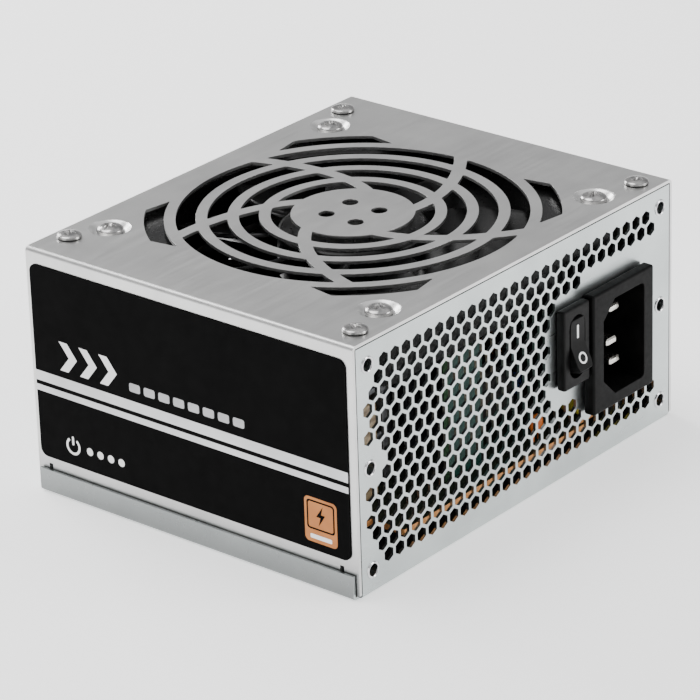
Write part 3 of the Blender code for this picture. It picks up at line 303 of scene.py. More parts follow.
def baked(obj):
    """The evaluated object as a plain mesh at the origin; the object itself goes."""
    bpy.context.view_layer.update()
    graph = bpy.context.evaluated_depsgraph_get()
    mesh = bpy.data.meshes.new_from_object(obj.evaluated_get(graph))
    tidied(mesh, obj.matrix_world)
    name = obj.name
    bpy.data.objects.remove(obj, do_unlink=True)
    return shown(name, mesh, None)


def eased(obj, width, segments=2, angle=40):
    """Breaks the sharp edges of a finished shape."""
    work = bmesh.new()
    work.from_mesh(obj.data)
    bmesh.ops.dissolve_limit(
        work, angle_limit=math.radians(0.6), verts=work.verts, edges=work.edges
    )
    work.to_mesh(obj.data)
    work.free()
    bevel = obj.modifiers.new("Edges", "BEVEL")
    bevel.width = width
    bevel.segments = segments
    bevel.limit_method = "ANGLE"
    bevel.angle_limit = math.radians(angle)
    made = baked(obj)
    smooth(made.data)
    weighted = made.modifiers.new("Flat faces", "WEIGHTED_NORMAL")
    weighted.keep_sharp = True
    bpy.context.view_layer.update()
    mesh = bpy.data.meshes.new_from_object(made.evaluated_get(bpy.context.evaluated_depsgraph_get()))
    made.modifiers.clear()
    made.data = mesh
    return made


def finish_piece(obj, finish, body, *nodes):
    if finish:
        obj.data.materials.clear()
        obj.data.materials.append(FINISHES[finish])
    if nodes:
        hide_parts(*nodes)
    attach(obj, body)
    return obj


def body_of(node):
    for body, members in frame["record"]["behaviour"]["bodies"].items():
        if node in members:
            return body


def polished(node, finish, width, segments=2):
    """The node's own shape with its edges broken and its finish on."""
    mesh = tidied(frame["nodes"][node].data.copy())
    obj = shown(node + "_finished", mesh, None)
    if width:
        obj = eased(obj, width * MM, segments)
    else:
        smooth(obj.data)
    return finish_piece(obj, finish, body_of(node), node)


def turned(name, profile, place=(0, 0, 0), steps=64, closed=False):
    """A solid of revolution about Z from (radius, height) points."""
    mesh = bpy.data.meshes.new(name)
    count = len(profile)
    edges = [(i, (i + 1) % count) for i in range(count if closed else count - 1)]
    mesh.from_pydata([(r, 0, z) for r, z in profile], edges, [])
    obj = bpy.data.objects.new(name, mesh)
    bpy.context.scene.collection.objects.link(obj)
    screw = obj.modifiers.new("Turn", "SCREW")
    screw.steps = steps
    screw.render_steps = steps
    screw.use_merge_vertices = True
    screw.merge_threshold = 0.001 * MM
    obj.location = place
    return baked(obj)


UPRIGHT = Matrix.Rotation(math.pi / 2, 4, "X")


def plate(name, outlines, thickness, matrix):
    """Flat outlines with holes, thick along the matrix's own Z, with its middle at the matrix's origin."""
    curve = bpy.data.curves.new(name, "CURVE")
    curve.dimensions = "2D"
    curve.fill_mode = "BOTH"
    curve.extrude = thickness / 2
    for outline in outlines:
        spline = curve.splines.new("POLY")
        spline.points.add(len(outline) - 1)
        for point, (u, v) in zip(spline.points, outline):
            point.co = (u, v, 0, 1)
        spline.use_cyclic_u = True
    obj = bpy.data.objects.new(name, curve)
    bpy.context.scene.collection.objects.link(obj)
    obj.matrix_world = matrix
    return baked(obj)


def arc(centre, radius, start, end, steps):
    angles = [math.radians(start + (end - start) * i / steps) for i in range(steps + 1)]
    return [(centre[0] + radius * math.cos(a), centre[1] + radius * math.sin(a)) for a in angles]


def rounded(half_u, half_v, radius, centre=(0, 0), steps=8):
    made = []
    for quarter, (su, sv) in enumerate(((1, 1), (-1, 1), (-1, -1), (1, -1))):
        corner = (centre[0] + su * (half_u - radius), centre[1] + sv * (half_v - radius))
        made += arc(corner, radius, 90 * quarter, 90 * quarter + 90, steps)
    return made


def filleted(outline, radius, steps=4):
    """The outline with its sharp corners turned into arcs of about this radius."""
    points = [Vector(p) for p in outline]
    made = []
    for i, here in enumerate(points):
        before = (points[i - 1] - here).normalized()
        after = (points[(i + 1) % len(points)] - here).normalized()
        corner = before.angle(after)
        if corner > math.radians(150):
            made.append(tuple(here))
            continue
        reach = radius / math.tan(corner / 2)
        reach = min(reach, 0.45 * (points[i - 1] - here).length,
                    0.45 * (points[(i + 1) % len(points)] - here).length)
        start, end = here + before * reach, here + after * reach
        for k in range(steps + 1):
            t = k / steps
            point = start * (1 - t) ** 2 + here * 2 * t * (1 - t) + end * t**2
            made.append(tuple(point))
    return made


def combined(obj, tools, operation):
    for tool in tools:
        boolean = obj.modifiers.new("Combine", "BOOLEAN")
        boolean.operation = operation
        boolean.object = tool
        boolean.solver = "EXACT"
        obj = baked(obj)
        bpy.data.objects.remove(tool, do_unlink=True)
    return obj


def block(name, low, high):
    mesh = bpy.data.meshes.new(name)
    work = bmesh.new()
    bmesh.ops.create_cube(work, size=1)
    low, high = Vector(low), Vector(high)
    for vertex in work.verts:
        vertex.co = (low + high) / 2 + vertex.co * (high - low)
    work.to_mesh(mesh)
    work.free()
    return shown(name, mesh, None)


# ---------------------------------------------------------------- repeats made with Geometry Nodes


def node_group(name, sockets):
    """An empty geometry tree with its inputs, and the helper that adds a node to it."""
    tree = bpy.data.node_groups.new(name, "GeometryNodeTree")
    tree.interface.new_socket("Geometry", in_out="INPUT", socket_type="NodeSocketGeometry")
    for label, kind, value in sockets:
        socket = tree.interface.new_socket(label, in_out="INPUT", socket_type=kind)
        if value is not None:
            socket.default_value = value
    tree.interface.new_socket("Geometry", in_out="OUTPUT", socket_type="NodeSocketGeometry")
    entry = tree.nodes.new("NodeGroupInput")
    leave = tree.nodes.new("NodeGroupOutput")

    def add(kind, settings=None, **inputs):
        made = tree.nodes.new(kind)
        for key, value in (settings or {}).items():
            setattr(made, key, value)
        for key, value in inputs.items():
            socket = made.inputs[int(key[1:])] if key[0] == "n" and key[1:].isdigit() else made.inputs[
                key.replace("_", " ")]
            if hasattr(value, "is_output"):
                tree.links.new(value, socket)
            else:
                socket.default_value = value
        return made

    def end(geometry):
        solid = add("GeometryNodeRealizeInstances", Geometry=geometry).outputs[0]
        painted = add("GeometryNodeSetMaterial", Geometry=solid, Material=entry.outputs["Finish"])
        tree.links.new(painted.outputs[0], leave.inputs[0])

    return tree, entry, add, end


def ring_tree():
    """Copies of one part, evenly round Z, added to the piece that carries the modifier."""
    tree, entry, add, end = node_group("ring_of_parts", (
        ("Part", "NodeSocketObject", None), ("Count", "NodeSocketInt", 9),
        ("Finish", "NodeSocketMaterial", None)))
    points = add("GeometryNodePoints", Count=entry.outputs["Count"]).outputs[0]
    index = add("GeometryNodeInputIndex").outputs[0]
    share = add("ShaderNodeMath", {"operation": "DIVIDE"}, n0=index, n1=entry.outputs["Count"]).outputs[0]
    angle = add("ShaderNodeMath", {"operation": "MULTIPLY"}, n0=share, n1=TAU).outputs[0]
    turn = add("ShaderNodeCombineXYZ", Z=angle).outputs[0]
    part = add("GeometryNodeObjectInfo", Object=entry.outputs["Part"]).outputs["Geometry"]
    copies = add("GeometryNodeInstanceOnPoints", Points=points, Instance=part, Rotation=turn).outputs[0]
    joined = add("GeometryNodeJoinGeometry")
    tree.links.new(copies, joined.inputs[0])
    tree.links.new(entry.outputs["Geometry"], joined.inputs[0])
    end(joined.outputs[0])
    return tree


def seats_tree():
    """One copy of a part on each point of the piece, each turned by its own seeded angle."""
    tree, entry, add, end = node_group("parts_on_seats", (
        ("Part", "NodeSocketObject", None), ("Seed", "NodeSocketInt", 3),
        ("Most Turn", "NodeSocketFloat", TAU), ("Finish", "NodeSocketMaterial", None)))
    angle = add("FunctionNodeRandomValue", {"data_type": "FLOAT"}, Seed=entry.outputs["Seed"],
                n3=entry.outputs["Most Turn"])
    turn = add("ShaderNodeCombineXYZ", Z=angle.outputs[1]).outputs[0]
    part = add("GeometryNodeObjectInfo", Object=entry.outputs["Part"]).outputs["Geometry"]
    copies = add("GeometryNodeInstanceOnPoints", Points=entry.outputs["Geometry"], Instance=part,
                 Rotation=turn).outputs[0]
    end(copies)
    return tree


TREES = {"ring": ring_tree(), "seats": seats_tree()}


def repeated(obj, kind, part, finish, **values):
    """Runs a tree on the piece and keeps the result as a plain mesh; the part goes."""
    tree = TREES[kind]
    modifier = obj.modifiers.new("Repeat", "NODES")
    modifier.node_group = tree
    chosen = {"Part": part, "Finish": FINISHES[finish]}
    chosen.update({key.replace("_", " "): value for key, value in values.items()})
    for item in tree.interface.items_tree:
        if item.in_out == "INPUT" and item.name in chosen:
            modifier[item.identifier] = chosen[item.name]
    obj.update_tag()
    made = baked(obj)
    bpy.data.objects.remove(part, do_unlink=True)
    smooth(made.data)
    return made


def points_object(name, places):
    mesh = bpy.data.meshes.new(name)
    mesh.from_pydata([tuple(place) for place in places], [], [])
    return shown(name, mesh, None)


# ---------------------------------------------------------------- case


RING_INNER, RING_SLOT, RING_PITCH, FULL_RINGS = *mm(15.0, 4.8, 7.6), 4
SPOKES, SPOKE_WIDTH, SPOKE_TWIST, SPOKE_START = 5, 3.2 * MM, 0.75, math.radians(-38)
CORNER_SQUARE = 41.8 * MM
BEND = 1.2 * MM
FAN_HOLE = 41.25 * MM


def spoke_angle(radius):
    return SPOKE_START + SPOKE_TWIST * math.log(radius / (RING_INNER + RING_SLOT / 2))


def grille_slot(inner, outer, spoke, steps=26):
    """One slot between two of the swirling spokes, its ends following the spokes."""
    turn = TAU / SPOKES
    half = SPOKE_WIDTH / 2 * math.sqrt(1 + SPOKE_TWIST**2)

    def edge(radius, side):
        return spoke_angle(radius) + (spoke + (side < 0)) * turn + side * half / radius

    def point(radius, angle):
        return (radius * math.cos(angle), radius * math.sin(angle))

    def sweep(radius, start, end):
        return [point(radius, start + (end - start) * i / steps) for i in range(steps + 1)]

    mid = (inner + outer) / 2
    return [
        *sweep(outer, edge(outer, 1), edge(outer, -1)), point(mid, edge(mid, -1)),
        *sweep(inner, edge(inner, -1), edge(inner, 1)), point(mid, edge(mid, 1)),
    ]


def corner_slot(inner, outer, quarter, steps=16):
    points = []
    blunt = 3.5
    for radius, forward in ((outer, True), (inner, False)):
        edge = math.degrees(math.acos(CORNER_SQUARE / radius)) + (0 if forward else blunt)
        ends = (edge, 90 - edge) if forward else (90 - edge, edge)
        points += arc((0, 0), radius, 90 * quarter + ends[0], 90 * quarter + ends[1], steps)
    return points


def dish(x, y):
    """The pressed seat of a fan screw: a smooth slope down to a flat ring."""
    depth, outer, flat, hole, steps = *mm(1.2, 5.4, 3.5, 2.4), 8
    slope = []
    for i in range(steps + 1):
        t = i / steps
        slope.append((outer + (flat - outer) * t, -0.02 * MM - depth * (1 - math.cos(math.pi * t)) / 2))
    upper = [(r, TOP + z) for r, z in slope]
    lower = [(r, z - SHEET) for r, z in upper]
    profile = [(hole, upper[-1][1]), *reversed(upper), *lower, (hole, lower[-1][1])]
    return turned("dish", profile, (x, y, 0), 64, closed=True)


def cover():
    half, foot = COVER_HIGH.x, COVER_LOW.z
    left = [(-half, foot), *reversed(arc((-half + BEND, TOP - BEND), BEND, 90, 180, 10))]
    path = [*left, *((-u, v) for u, v in reversed(left))]
    length = COVER_HIGH.y - COVER_LOW.y
    mesh = bpy.data.meshes.new("cover_sheet")
    verts = [(u, y, v) for y in (-length / 2, length / 2) for u, v in path]
    count = len(path)
    faces = [(i + 1, i, count + i, count + i + 1) for i in range(count - 1)]
    mesh.from_pydata(verts, [], faces)
    body = shown("top_cover_finished", mesh, None)
    solidify = body.modifiers.new("Thickness", "SOLIDIFY")
    solidify.thickness = SHEET
    solidify.offset = 1
    solidify.use_even_offset = True
    body = baked(body)
    slot_corner = 0.7 * MM
    outlines = []
    for ring in range(FULL_RINGS):
        inner = RING_INNER + ring * RING_PITCH
        outlines += [filleted(grille_slot(inner, inner + RING_SLOT, spoke), slot_corner)
                     for spoke in range(SPOKES)]
    outermost = RING_INNER + FULL_RINGS * RING_PITCH
    outlines += [
        filleted(corner_slot(outermost, outermost + RING_SLOT, quarter), slot_corner)
        for quarter in range(4)
    ]
    pitch = 4.5 * MM
    outlines += [arc((x, y), 2 * MM, 0, 350, 35) for x in (-pitch, pitch) for y in (-pitch, pitch)]
    for i in range(1, 5):
        seat = middle(f"cover_screw_{i}")
        outlines.append(arc((seat.x, seat.y), 1.9 * MM, 0, 350, 35))
    fan_seats = [(x, y) for x in (-FAN_HOLE, FAN_HOLE) for y in (-FAN_HOLE, FAN_HOLE)]
    outlines += [arc(seat, 5.2 * MM, 0, 354, 59) for seat in fan_seats]
    sheet_middle = Matrix.Translation((0, 0, TOP - SHEET / 2))
    body = combined(body, [plate("slots", outlines, 3 * SHEET, sheet_middle)], "DIFFERENCE")
    body = combined(body, [dish(x, y) for x, y in fan_seats], "UNION")
    notches = []
    for side in (-1, 1):
        for y in mm(-45, 46):
            x = side * half
            low, high = (x - 2 * MM, y - 0.6 * MM, 5.4 * MM), (x + 2 * MM, y + 0.6 * MM, 7.6 * MM)
            notches.append(block("notch", low, high))
    body = combined(body, notches, "DIFFERENCE")
    body = eased(body, 0.22 * MM, 3, 50)
    body.name = "top_cover_finished"
    finish_piece(body, "cover_steel", "case", "top_cover")


def hole_rims():
    """The raised rims that the tapping leaves round the six mounting holes."""
    bpy.ops.mesh.primitive_torus_add(major_segments=40, minor_segments=10, major_radius=1.80 * MM,
                                     minor_radius=0.32 * MM, rotation=(math.pi / 2, 0, 0))
    rim = baked(bpy.context.object)
    places = [mm(x, -50, z) for x in (-56.5, 56.5) for z in (6, 31.75, 57.5)]
    rims = repeated(points_object("mounting_hole_rims", places), "seats", rim, "shaft_steel", Most_Turn=0.0)
    finish_piece(rims, None, "case")


def pan_screw(name, head_radius, head_height, shank_radius, shank_length):
    """A pan head screw with a tapered cross recess, standing on its head's underside."""
    crown = [
        (head_radius * math.sin(a), head_height * (0.42 + 0.58 * math.cos(a)))
        for a in (math.radians(9 * i) for i in range(11))
    ]
    profile = [*crown, (head_radius, 0.12 * MM), (head_radius - 0.12 * MM, 0), (shank_radius, 0),
               (shank_radius, -shank_length + 0.5 * MM), (shank_radius * 0.5, -shank_length),
               (0, -shank_length)]
    screw = turned(name, profile, steps=48)
    arm, wide, deep = head_radius * 0.66, head_radius * 0.2, head_height * 0.95
    bars = []
    for half_x, half_y in ((arm, wide), (wide, arm)):
        bar = block("bar", (-half_x, -half_y, head_height - deep), (half_x, half_y, head_height + 1 * MM))
        for vertex in bar.data.vertices:
            if vertex.co.z < head_height:
                vertex.co.x *= 0.6
                vertex.co.y *= 0.6
        bars.append(bar)
    cross = combined(bars[0], [bars[1]], "UNION")
    screw = combined(screw, [cross], "DIFFERENCE")
    return eased(screw, 0.06 * MM, 1, 55)


SCREW_SETS = (
    ("cover_screw", 3.0 * MM, 1.2 * MM, 1.25 * MM, 5.0 * MM),
    ("fan_screw", 3.3 * MM, 1.9 * MM, 2.0 * MM, 9.0 * MM),
    ("board_screw", 2.8 * MM, 1.8 * MM, 1.4 * MM, 5.0 * MM),
)


def screws():
    for family, head_radius, head_height, shank_radius, shank_length in SCREW_SETS:
        nodes = [f"{family}_{i}" for i in range(1, 5)]
        seats = []
        for node in nodes:
            low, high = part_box(node)
            centre = middle(node)
            seats.append((centre.x, centre.y, high.z - head_height))
        part = pan_screw(family, head_radius, head_height, shank_radius, shank_length)
        group = repeated(points_object(family + "s", seats), "seats", part, "screw_nickel", Seed=5)
        finish_piece(group, None, "case", *nodes)


# ---------------------------------------------------------------- labels


def label_plane(out):
    """Turns an outline in (distance from the far end, height) into a place on the labelled side."""
    x = LABEL_LOW.x - out
    return Matrix(((0, 0, -1, x), (-1, 0, 0, COVER_HIGH.y), (0, 1, 0, 0), (0, 0, 0, 1)))


def print_on_label(name, outlines, finish, out=0.02):
    mark = plate(name, outlines, 0.03 * MM, label_plane(out * MM))
    smooth(mark.data)
    finish_piece(mark, finish, "case")


def moved(outline, u, v):
    return [((a + u) * MM, (b + v) * MM) for a, b in outline]


def power_mark(size):
    """A ring open at its top with an upright bar in the gap, as two outlines in millimetres."""
    ring = [*arc((0, 0), size, 125, 415, 28), *arc((0, 0), size * 0.72, 415, 125, 28)]
    return [ring, rounded(size * 0.14, size * 0.5, size * 0.12, (0, size * 0.62), 4)]


def bolt_mark(size):
    shape = [(0.25, 1), (-0.5, -0.12), (-0.02, -0.12), (-0.25, -1), (0.5, 0.18), (0.05, 0.18)]
    return [(u * size, v * size) for u, v in shape]


def side_label():
    low, high = LABEL_LOW, LABEL_HIGH
    centre = (COVER_HIGH.y - (low.y + high.y) / 2, (low.z + high.z) / 2)
    outline = rounded((high.y - low.y) / 2, (high.z - low.z) / 2, 2.2 * MM, centre, 10)
    film = plate("side_label_finished", [outline], high.x - low.x, label_plane(-(high.x - low.x) / 2))
    film = eased(film, 0.05 * MM, 1)
    finish_piece(film, "label_black", "case", "side_label")
    ends = mm(1.3, 97.9)
    for i, (top, bottom) in enumerate(((32.1, 29.5), (28.4, 26.8)), 1):
        stripe = [(ends[0], bottom * MM), (ends[1], bottom * MM), (ends[1], top * MM), (ends[0], top * MM)]
        print_on_label(f"label_stripe_{i}", [stripe], "label_silver")
    for i in range(3):
        chevron = [(0, 0), (2.6, 0), (5.6, 3.75), (2.6, 7.5), (0, 7.5), (3.0, 3.75)]
        print_on_label(f"label_chevron_{i + 1}", [moved(chevron, 9.5 + 6.4 * i, 34.0)], "label_white")
    dashes = []
    for i in range(8):
        dashes.append(moved(rounded(1.7, 1.1, 0.5, (0, 0), 4), 33.4 + 4.6 * i, 35.6))
    print_on_label("label_dashes", dashes, "label_grey")
    power = [moved(shape, 12.2, 14.6) for shape in power_mark(2.3)]
    print_on_label("label_power_mark", power, "label_white")
    dots = [moved(rounded(1.0, 1.0, 0.95, (0, 0), 4), 17.6 + 3.4 * i, 14.6) for i in range(4)]
    print_on_label("label_dots", dots, "label_white")
    badge = moved(rounded(4.8, 5.7, 1.2, (0, 0), 6), 89.4, 17.2)
    print_on_label("label_badge", [badge], "label_bronze")
    frame_line = [moved(rounded(4.1, 3.7, 0.8, (0, 0), 6), 89.4, 18.5),
                  moved(rounded(3.7, 3.3, 0.6, (0, 0), 6), 89.4, 18.5)]
    print_on_label("label_badge_frame", frame_line, "label_black", 0.06)
    print_on_label("label_badge_bolt", [moved(bolt_mark(2.6), 89.4, 18.5)], "label_black", 0.06)
    bar = moved(rounded(3.2, 0.55, 0.3, (0, 0), 4), 89.4, 13.0)
    print_on_label("label_badge_bar", [bar], "label_white", 0.06)


def rating_label():
    """The pale table on the far side: a ruled grid with plain bars, and no lettering."""
    low, high = RATING_LOW, RATING_HIGH
    half_u, half_v = (high.y - low.y) / 2, (high.z - low.z) / 2
    centre = (low + high) / 2
    thickness = high.x - low.x

    def place(out):
        x = high.x + out
        return Matrix(((0, 0, 1, x), (1, 0, 0, centre.y), (0, 1, 0, centre.z), (0, 0, 0, 1)))

    outline = rounded(half_u, half_v, 1.5 * MM)
    paper = plate("rating_label_finished", [outline], thickness, place(-thickness / 2))
    finish_piece(eased(paper, 0.05 * MM, 1), "rating_paper", "case", "rating_label")
    inset, line = 3 * MM, 0.45 * MM
    table_u, table_v = half_u - inset, half_v - inset
    cells = []
    columns, rows = 6, 4
    width, height = 2 * table_u / columns, 1.3 * table_v / rows
    for column in range(columns):
        for row in range(rows):
            corner = (-table_u + (column + 0.5) * width, table_v - (row + 0.5) * height)
            cells.append(rounded(width / 2 - line / 2, height / 2 - line / 2, 0.1 * MM, corner, 1))
    border_v = (rows * height) / 2 + line
    border = rounded(table_u + line, border_v, 0.3 * MM, (0, table_v - rows * height / 2), 2)
    grid = plate("rating_grid", [border, *cells], 0.03 * MM, place(0.02 * MM))
    finish_piece(grid, "label_black", "case")
    bars = []
    for column in range(columns):
        for row in range(rows):
            long = 0.5 + 0.3 * ((column * 7 + row * 5) % 4) / 3
            corner = (-table_u + (column + 0.5) * width, table_v - (row + 0.5) * height)
            bars.append(rounded(width / 2 * long, 0.5 * MM, 0.2 * MM, corner, 2))
    mark = plate("rating_bars", bars, 0.03 * MM, place(0.02 * MM))
    finish_piece(mark, "label_black", "case")
    shapes = [[(u + table_u - 6 * MM - i * 9 * MM, v - table_v + 3.4 * MM) for u, v in shape]
              for i in range(2)
              for shape in ([[(a * MM, b * MM) for a, b in s] for s in power_mark(2.2)] if i else
                            [[(a * MM, b * MM) for a, b in bolt_mark(2.6)]])]
    marks = plate("rating_marks", shapes, 0.03 * MM, place(0.02 * MM))
    finish_piece(marks, "label_black", "case")


# ---------------------------------------------------------------- fan


FAN_LOW, FAN_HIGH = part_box("fan_frame")
HUB_RADIUS = 18.5 * MM
BLADE_TIP = 43.2 * MM
BLADES = 9


def fan_impeller():
    low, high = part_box("fan_impeller")
    top, foot, wall = high.z, low.z - 0.2 * MM, 1.6 * MM
    ceiling = top - 1.8 * MM
    rim = arc((HUB_RADIUS - 1.4 * MM, top - 1.4 * MM), 1.4 * MM, 90, 0, 8)
    cup = turned("fan_impeller_finished", [
        (0, top - 0.25 * MM), (HUB_RADIUS * 0.72, top - 0.25 * MM), (HUB_RADIUS * 0.74, top), *rim,
        (HUB_RADIUS, foot), (HUB_RADIUS - wall, foot), (HUB_RADIUS - wall, ceiling), (3.2 * MM, ceiling),
        (3.2 * MM, ceiling - 1.8 * MM), (1.8 * MM, ceiling - 1.8 * MM), (1.8 * MM, top - 0.9 * MM),
        (0, top - 0.9 * MM)], steps=96)
    across, along = 14, 18
    bpy.ops.mesh.primitive_grid_add(x_subdivisions=along, y_subdivisions=across, size=2)
    blade = bpy.context.object
    root, rise_low, rise_high = HUB_RADIUS - 0.6 * MM, foot + 0.6 * MM, top - 0.8 * MM
    for vertex in blade.data.vertices:
        out, chord = (vertex.co.x + 1) / 2, vertex.co.y
        radius = root + (BLADE_TIP - root) * out
        turn = chord * math.radians(17.5) - math.radians(16) * out**1.5 + math.radians(2.5) * (1 - chord**2)
        drop = (rise_high - rise_low) / 2 * (1 - 0.22 * out)
        vertex.co = (radius * math.cos(turn), radius * math.sin(turn),
                     (rise_low + rise_high) / 2 + chord * drop)
    solidify = blade.modifiers.new("Thickness", "SOLIDIFY")
    solidify.thickness = 1.2 * MM
    solidify.offset = 0
    bevel = blade.modifiers.new("Edges", "BEVEL")
    bevel.width = 0.35 * MM
    bevel.segments = 2
    blade = baked(blade)
    fan = repeated(cup, "ring", blade, "fan_black", Count=BLADES)
    finish_piece(fan, None, body_of("fan_impeller"), "fan_impeller")


# ---------------------------------------------------------------- switch


ROCKER_CREST, ROCKER_LONG, ROCKER_END = mm(3.5, 6.3, 7.5)
ROCKER_HALF_WIDTH = 2.8 * MM
FACET = math.radians(12)


def rocker():
    end_height = ROCKER_CREST + ROCKER_LONG * math.tan(FACET)
    reach = math.hypot(ROCKER_LONG, end_height)
    end_angle = math.degrees(math.atan2(end_height, ROCKER_LONG))
    right = arc((0, 0), reach, end_angle, -15, 16)
    section = [(0, ROCKER_CREST), *right, mm(3.2, -3.4), mm(-3.2, -3.4),
               *((-u, v) for u, v in reversed(right))]
    along_x = Matrix(((0, 0, 1, 0), (1, 0, 0, 0), (0, 1, 0, 0), (0, 0, 0, 1)))
    body = plate("rocker", [[(-out, up) for up, out in section]], 2 * ROCKER_HALF_WIDTH, along_x)
    straight = ROCKER_END - ROCKER_HALF_WIDTH
    ends = [*arc((0, straight), ROCKER_HALF_WIDTH, 0, 180, 24),
            *arc((0, -straight), ROCKER_HALF_WIDTH, 180, 360, 24)]
    body = combined(body, [plate("stand", [ends], 30 * MM, UPRIGHT)], "INTERSECT")
    body = eased(body, 0.22 * MM, 3, 30)
    body.matrix_world = Matrix.Translation(ROCKER_PIVOT) @ Matrix.Rotation(-FACET, 4, "X")
    body = baked(body)
    body.name = "switch_rocker_finished"
    smooth(body.data, 30)
    finish_piece(body, "switch_black", "rocker", "switch_rocker")
    crest = Matrix.Translation(ROCKER_PIVOT) @ Matrix.Rotation(-FACET, 4, "X")
    for name, side, outlines in (
        ("mark_on", 1, [rounded(0.34 * MM, 1.7 * MM, 0.1 * MM, (0, 3.2 * MM), 2)]),
        ("mark_off", -1, [arc((0, -3.6 * MM), 1.45 * MM, 0, 352, 44),
                          arc((0, -3.6 * MM), 0.98 * MM, 0, 352, 44)]),
    ):
        facet = crest @ Matrix.Translation((0, -ROCKER_CREST - 0.02 * MM, 0)) @ Matrix.Rotation(
            side * FACET, 4, "X") @ UPRIGHT
        mark = plate(f"switch_{name}", outlines, 0.05 * MM, facet)
        finish_piece(mark, "label_white", "rocker")


# ---------------------------------------------------------------- wound parts and sinks


def wound_choke(node, core_finish, turns, wire):
    """A ring core with its turns of enamelled wire."""
    low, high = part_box(node)
    centre = (low + high) / 2
    outer, height = (high.x - low.x) / 2, high.z - low.z
    minor = height / 2
    major = outer - minor
    core_minor = minor - 1.6 * wire
    profile = rounded(core_minor, core_minor, core_minor * 0.45, (major, 0), 5)
    core = turned(node + "_core", profile, centre, 64, closed=True)
    smooth(core.data)
    finish_piece(core, core_finish, "case")
    loop = [(r, z) for r, z in rounded(core_minor + wire * 0.62, core_minor + wire * 0.62, core_minor * 0.6,
                                      (major, 0), 5)]
    curve = bpy.data.curves.new("turn", "CURVE")
    curve.dimensions = "3D"
    curve.bevel_depth = wire / 2
    curve.bevel_resolution = 2
    spline = curve.splines.new("POLY")
    spline.points.add(len(loop) - 1)
    for point, (r, z) in zip(spline.points, loop):
        point.co = (r, 0, z, 1)
    spline.use_cyclic_u = True
    one_turn = bpy.data.objects.new("turn", curve)
    bpy.context.scene.collection.objects.link(one_turn)
    one_turn = baked(one_turn)
    seed = block(node + "_finished", (major - 0.01 * MM,) * 3, (major,) * 3)
    seed.data.transform(Matrix.Translation((0, -major, -major)))
    winding = repeated(seed, "ring", one_turn, "wire_copper", Count=turns)
    winding.data.transform(Matrix.Translation(centre))
    smooth(winding.data)
    finish_piece(winding, None, "case", node)


def thermistor():
    """A small dipped disc on its two legs, just behind the panel."""
    low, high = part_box("inrush_thermistor")
    centre = Vector(((low.x + high.x) / 2, (low.y + high.y) / 2, high.z - 4.2 * MM))
    half = [(0, 1.4), (1.3, 1.3), (2.0, 0.8), (2.3, 0)]
    profile = [(r * MM, z * MM) for r, z in [*half, *((r, -z) for r, z in reversed(half[:-1]))]]
    disc = turned("inrush_thermistor_finished", profile, steps=40)
    disc.data.transform(Matrix.Translation(centre) @ UPRIGHT)
    leg_radius = 0.3 * MM
    legs = [
        block("leg", (centre.x + side - leg_radius, centre.y - leg_radius, low.z),
              (centre.x + side + leg_radius, centre.y + leg_radius, centre.z - 1 * MM))
        for side in (-1.2 * MM, 1.2 * MM)
    ]
    disc = combined(disc, legs, "UNION")
    smooth(disc.data)
    finish_piece(disc, "epoxy_orange", "case", "inrush_thermistor")


# ---------------------------------------------------------------- pieces that keep their own shape


POLISHED = {
    "base_chassis": ("chassis_steel", 0.06), "inlet_housing": ("inlet_black", 0.18),
    "inlet_pin_line": ("tinned_brass", 0.10), "inlet_pin_neutral": ("tinned_brass", 0.10),
    "inlet_pin_earth": ("tinned_brass", 0.10), "switch_housing": ("switch_black", 0.15),
    "switch_plunger": ("nylon_white", 0.08), "switch_contact_lever": ("wire_copper", 0.08),
    "switch_terminal_common": ("tinned_brass", 0.10), "switch_terminal_load": ("tinned_brass", 0.10),
    "cable_grommet": ("grommet_black", 0.25), "fan_frame": ("fan_black", 0.20),
    "fan_shaft": ("shaft_steel", 0.15), "fan_magnet_ring": ("ferrite_grey", 0.15),
    "fan_bearing": ("bearing_bronze", 0.15), "fan_stator": ("wire_copper", 0.20),
    "fan_driver_board": ("driver_green", 0.08), "fan_plug": ("package_black", 0.15),
    "insulation_sheet": ("film_black", 0.0), "main_board": ("board_tan", 0.10),
    "control_board": ("board_green", 0.10), "primary_heatsink": ("extruded_aluminium", 0.20),
    "secondary_heatsink": ("extruded_aluminium", 0.20), "power_transistor_1": ("package_black", 0.20),
    "power_transistor_2": ("package_black", 0.20), "output_rectifier": ("package_black", 0.20),
    "transformer_core": ("ferrite_grey", 0.30), "transformer_winding": ("sleeve_black", 0.20),
    "bulk_capacitor": ("sleeve_black", 0.0), "output_capacitor_1": ("sleeve_black", 0.0),
    "output_capacitor_2": ("sleeve_black", 0.0), "pfc_choke": ("tape_tan", 0.20),
    "line_capacitor": ("film_box_yellow", 0.20), "bridge_rectifier": ("package_black", 0.20),
    "mains_fuse": ("nylon_white", 0.10),
    "line_lead": ("pvc_brown", 0.0), "switched_lead": ("pvc_black", 0.0), "neutral_lead": ("pvc_blue", 0.0),
    "earth_lead": ("pvc_green", 0.0), "fan_lead": ("pvc_black", 0.0),
}


# ---------------------------------------------------------------- studio


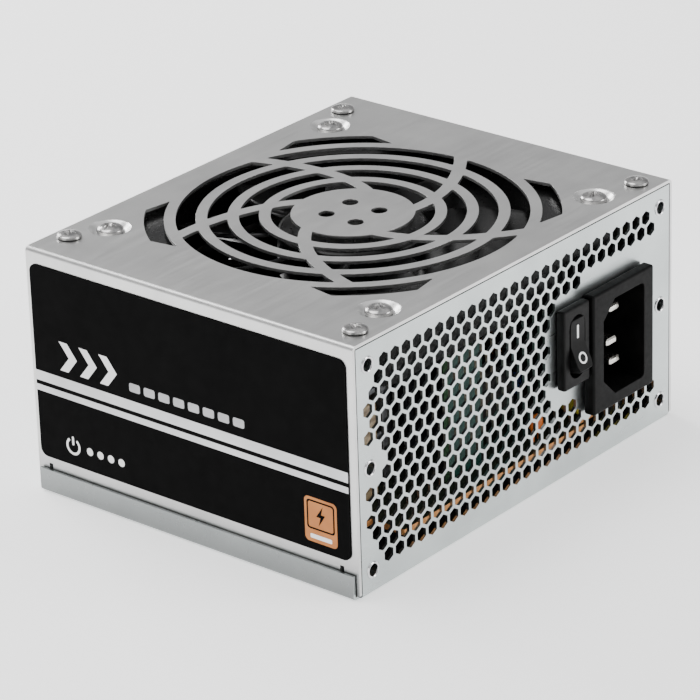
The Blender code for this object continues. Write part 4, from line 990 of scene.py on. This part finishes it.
def camera():
    """A long lens, above the corner between the labelled side and the inlet panel."""
    azimuth, elevation, roll = (math.radians(a) for a in (-49.95, 24.3, -1.83))
    back = Vector((math.sin(azimuth) * math.cos(elevation), -math.cos(azimuth) * math.cos(elevation),
                   math.sin(elevation)))
    right = Vector((math.cos(azimuth), math.sin(azimuth), 0))
    up = back.cross(right)
    right, up = right * math.cos(roll) + up * math.sin(roll), up * math.cos(roll) - right * math.sin(roll)
    place = -2.55 * MM * right + 24.71 * MM * up + 978.3 * MM * back
    data = bpy.data.cameras.new("camera")
    data.lens = 204.1
    data.sensor_width = 36
    data.clip_start = 0.05
    made = bpy.data.objects.new("camera", data)
    made.matrix_world = Matrix(((right.x, up.x, back.x, place.x), (right.y, up.y, back.y, place.y),
                                (right.z, up.z, back.z, place.z), (0, 0, 0, 1)))
    bpy.context.scene.collection.objects.link(made)
    bpy.context.scene.camera = made


def softbox(name, place, target, size, power):
    data = bpy.data.lights.new(name, "AREA")
    data.shape = "RECTANGLE"
    data.size, data.size_y = size
    data.energy = power
    made = bpy.data.objects.new(name, data)
    made.location = place
    made.rotation_euler = (Vector(target) - Vector(place)).to_track_quat("-Z", "Y").to_euler()
    bpy.context.scene.collection.objects.link(made)


def studio():
    white = Finish("floor_white", (0.9, 0.9, 0.9), 0.7, Emission_Strength=0.8)
    white.tint(white.noise(6, 3), (0.89, 0.89, 0.89), (0.91, 0.91, 0.91))
    white.set("Emission Color", (1, 1, 1, 1))
    bpy.ops.mesh.primitive_circle_add(vertices=96, radius=6, fill_type="NGON", location=(0, 0, -0.0002))
    floor = bpy.context.object
    floor.name = "floor"
    floor.data.materials.append(white.material)
    world = bpy.data.worlds.new("studio")
    world.use_nodes = True
    tree = world.node_tree
    backdrop = tree.nodes["Background"]
    backdrop.inputs["Strength"].default_value = 1.0
    way = tree.nodes.new("ShaderNodeTexCoord")
    split = tree.nodes.new("ShaderNodeSeparateXYZ")
    ramp = tree.nodes.new("ShaderNodeValToRGB")
    stops = ((0.0, 1.0), (0.12, 1.0), (0.3, 0.52), (0.55, 0.56), (0.8, 1.1))
    ramp.color_ramp.elements.remove(ramp.color_ramp.elements[1])
    ramp.color_ramp.elements[0].color = (1, 1, 1, 1)
    for position, level in stops[1:]:
        stop = ramp.color_ramp.elements.new(position)
        stop.color = (level, level, level * 1.01, 1)
    tree.links.new(way.outputs["Generated"], split.inputs[0])
    tree.links.new(split.outputs["Z"], ramp.inputs["Fac"])
    tree.links.new(ramp.outputs["Color"], backdrop.inputs["Color"])
    bpy.context.scene.world = world
    softbox("overhead", (-0.3, 0.5, 1.5), (0, 0, 0.03), (1.2, 0.9), 16)
    softbox("panel_side", (0.9, -1.5, 0.7), (0, 0, 0.03), (0.8, 0.8), 14)
    softbox("label_side", (-1.6, 0.2, 0.5), (0, 0, 0.03), (0.8, 0.8), 4)
    softbox("far_left", (0.12, 0.75, 0.40), (-0.03, 0, 0.06), (0.45, 0.3), 5)


def main():
    camera()
    studio()
    cover()
    screws()
    hole_rims()
    side_label()
    rating_label()
    fan_impeller()
    rocker()
    wound_choke("output_choke", "tape_yellow", 30, 1.0 * MM)
    wound_choke("emi_choke", "ferrite_grey", 26, 1.0 * MM)
    thermistor()
    for node, (finish, width) in POLISHED.items():
        polished(node, finish, width)


main()
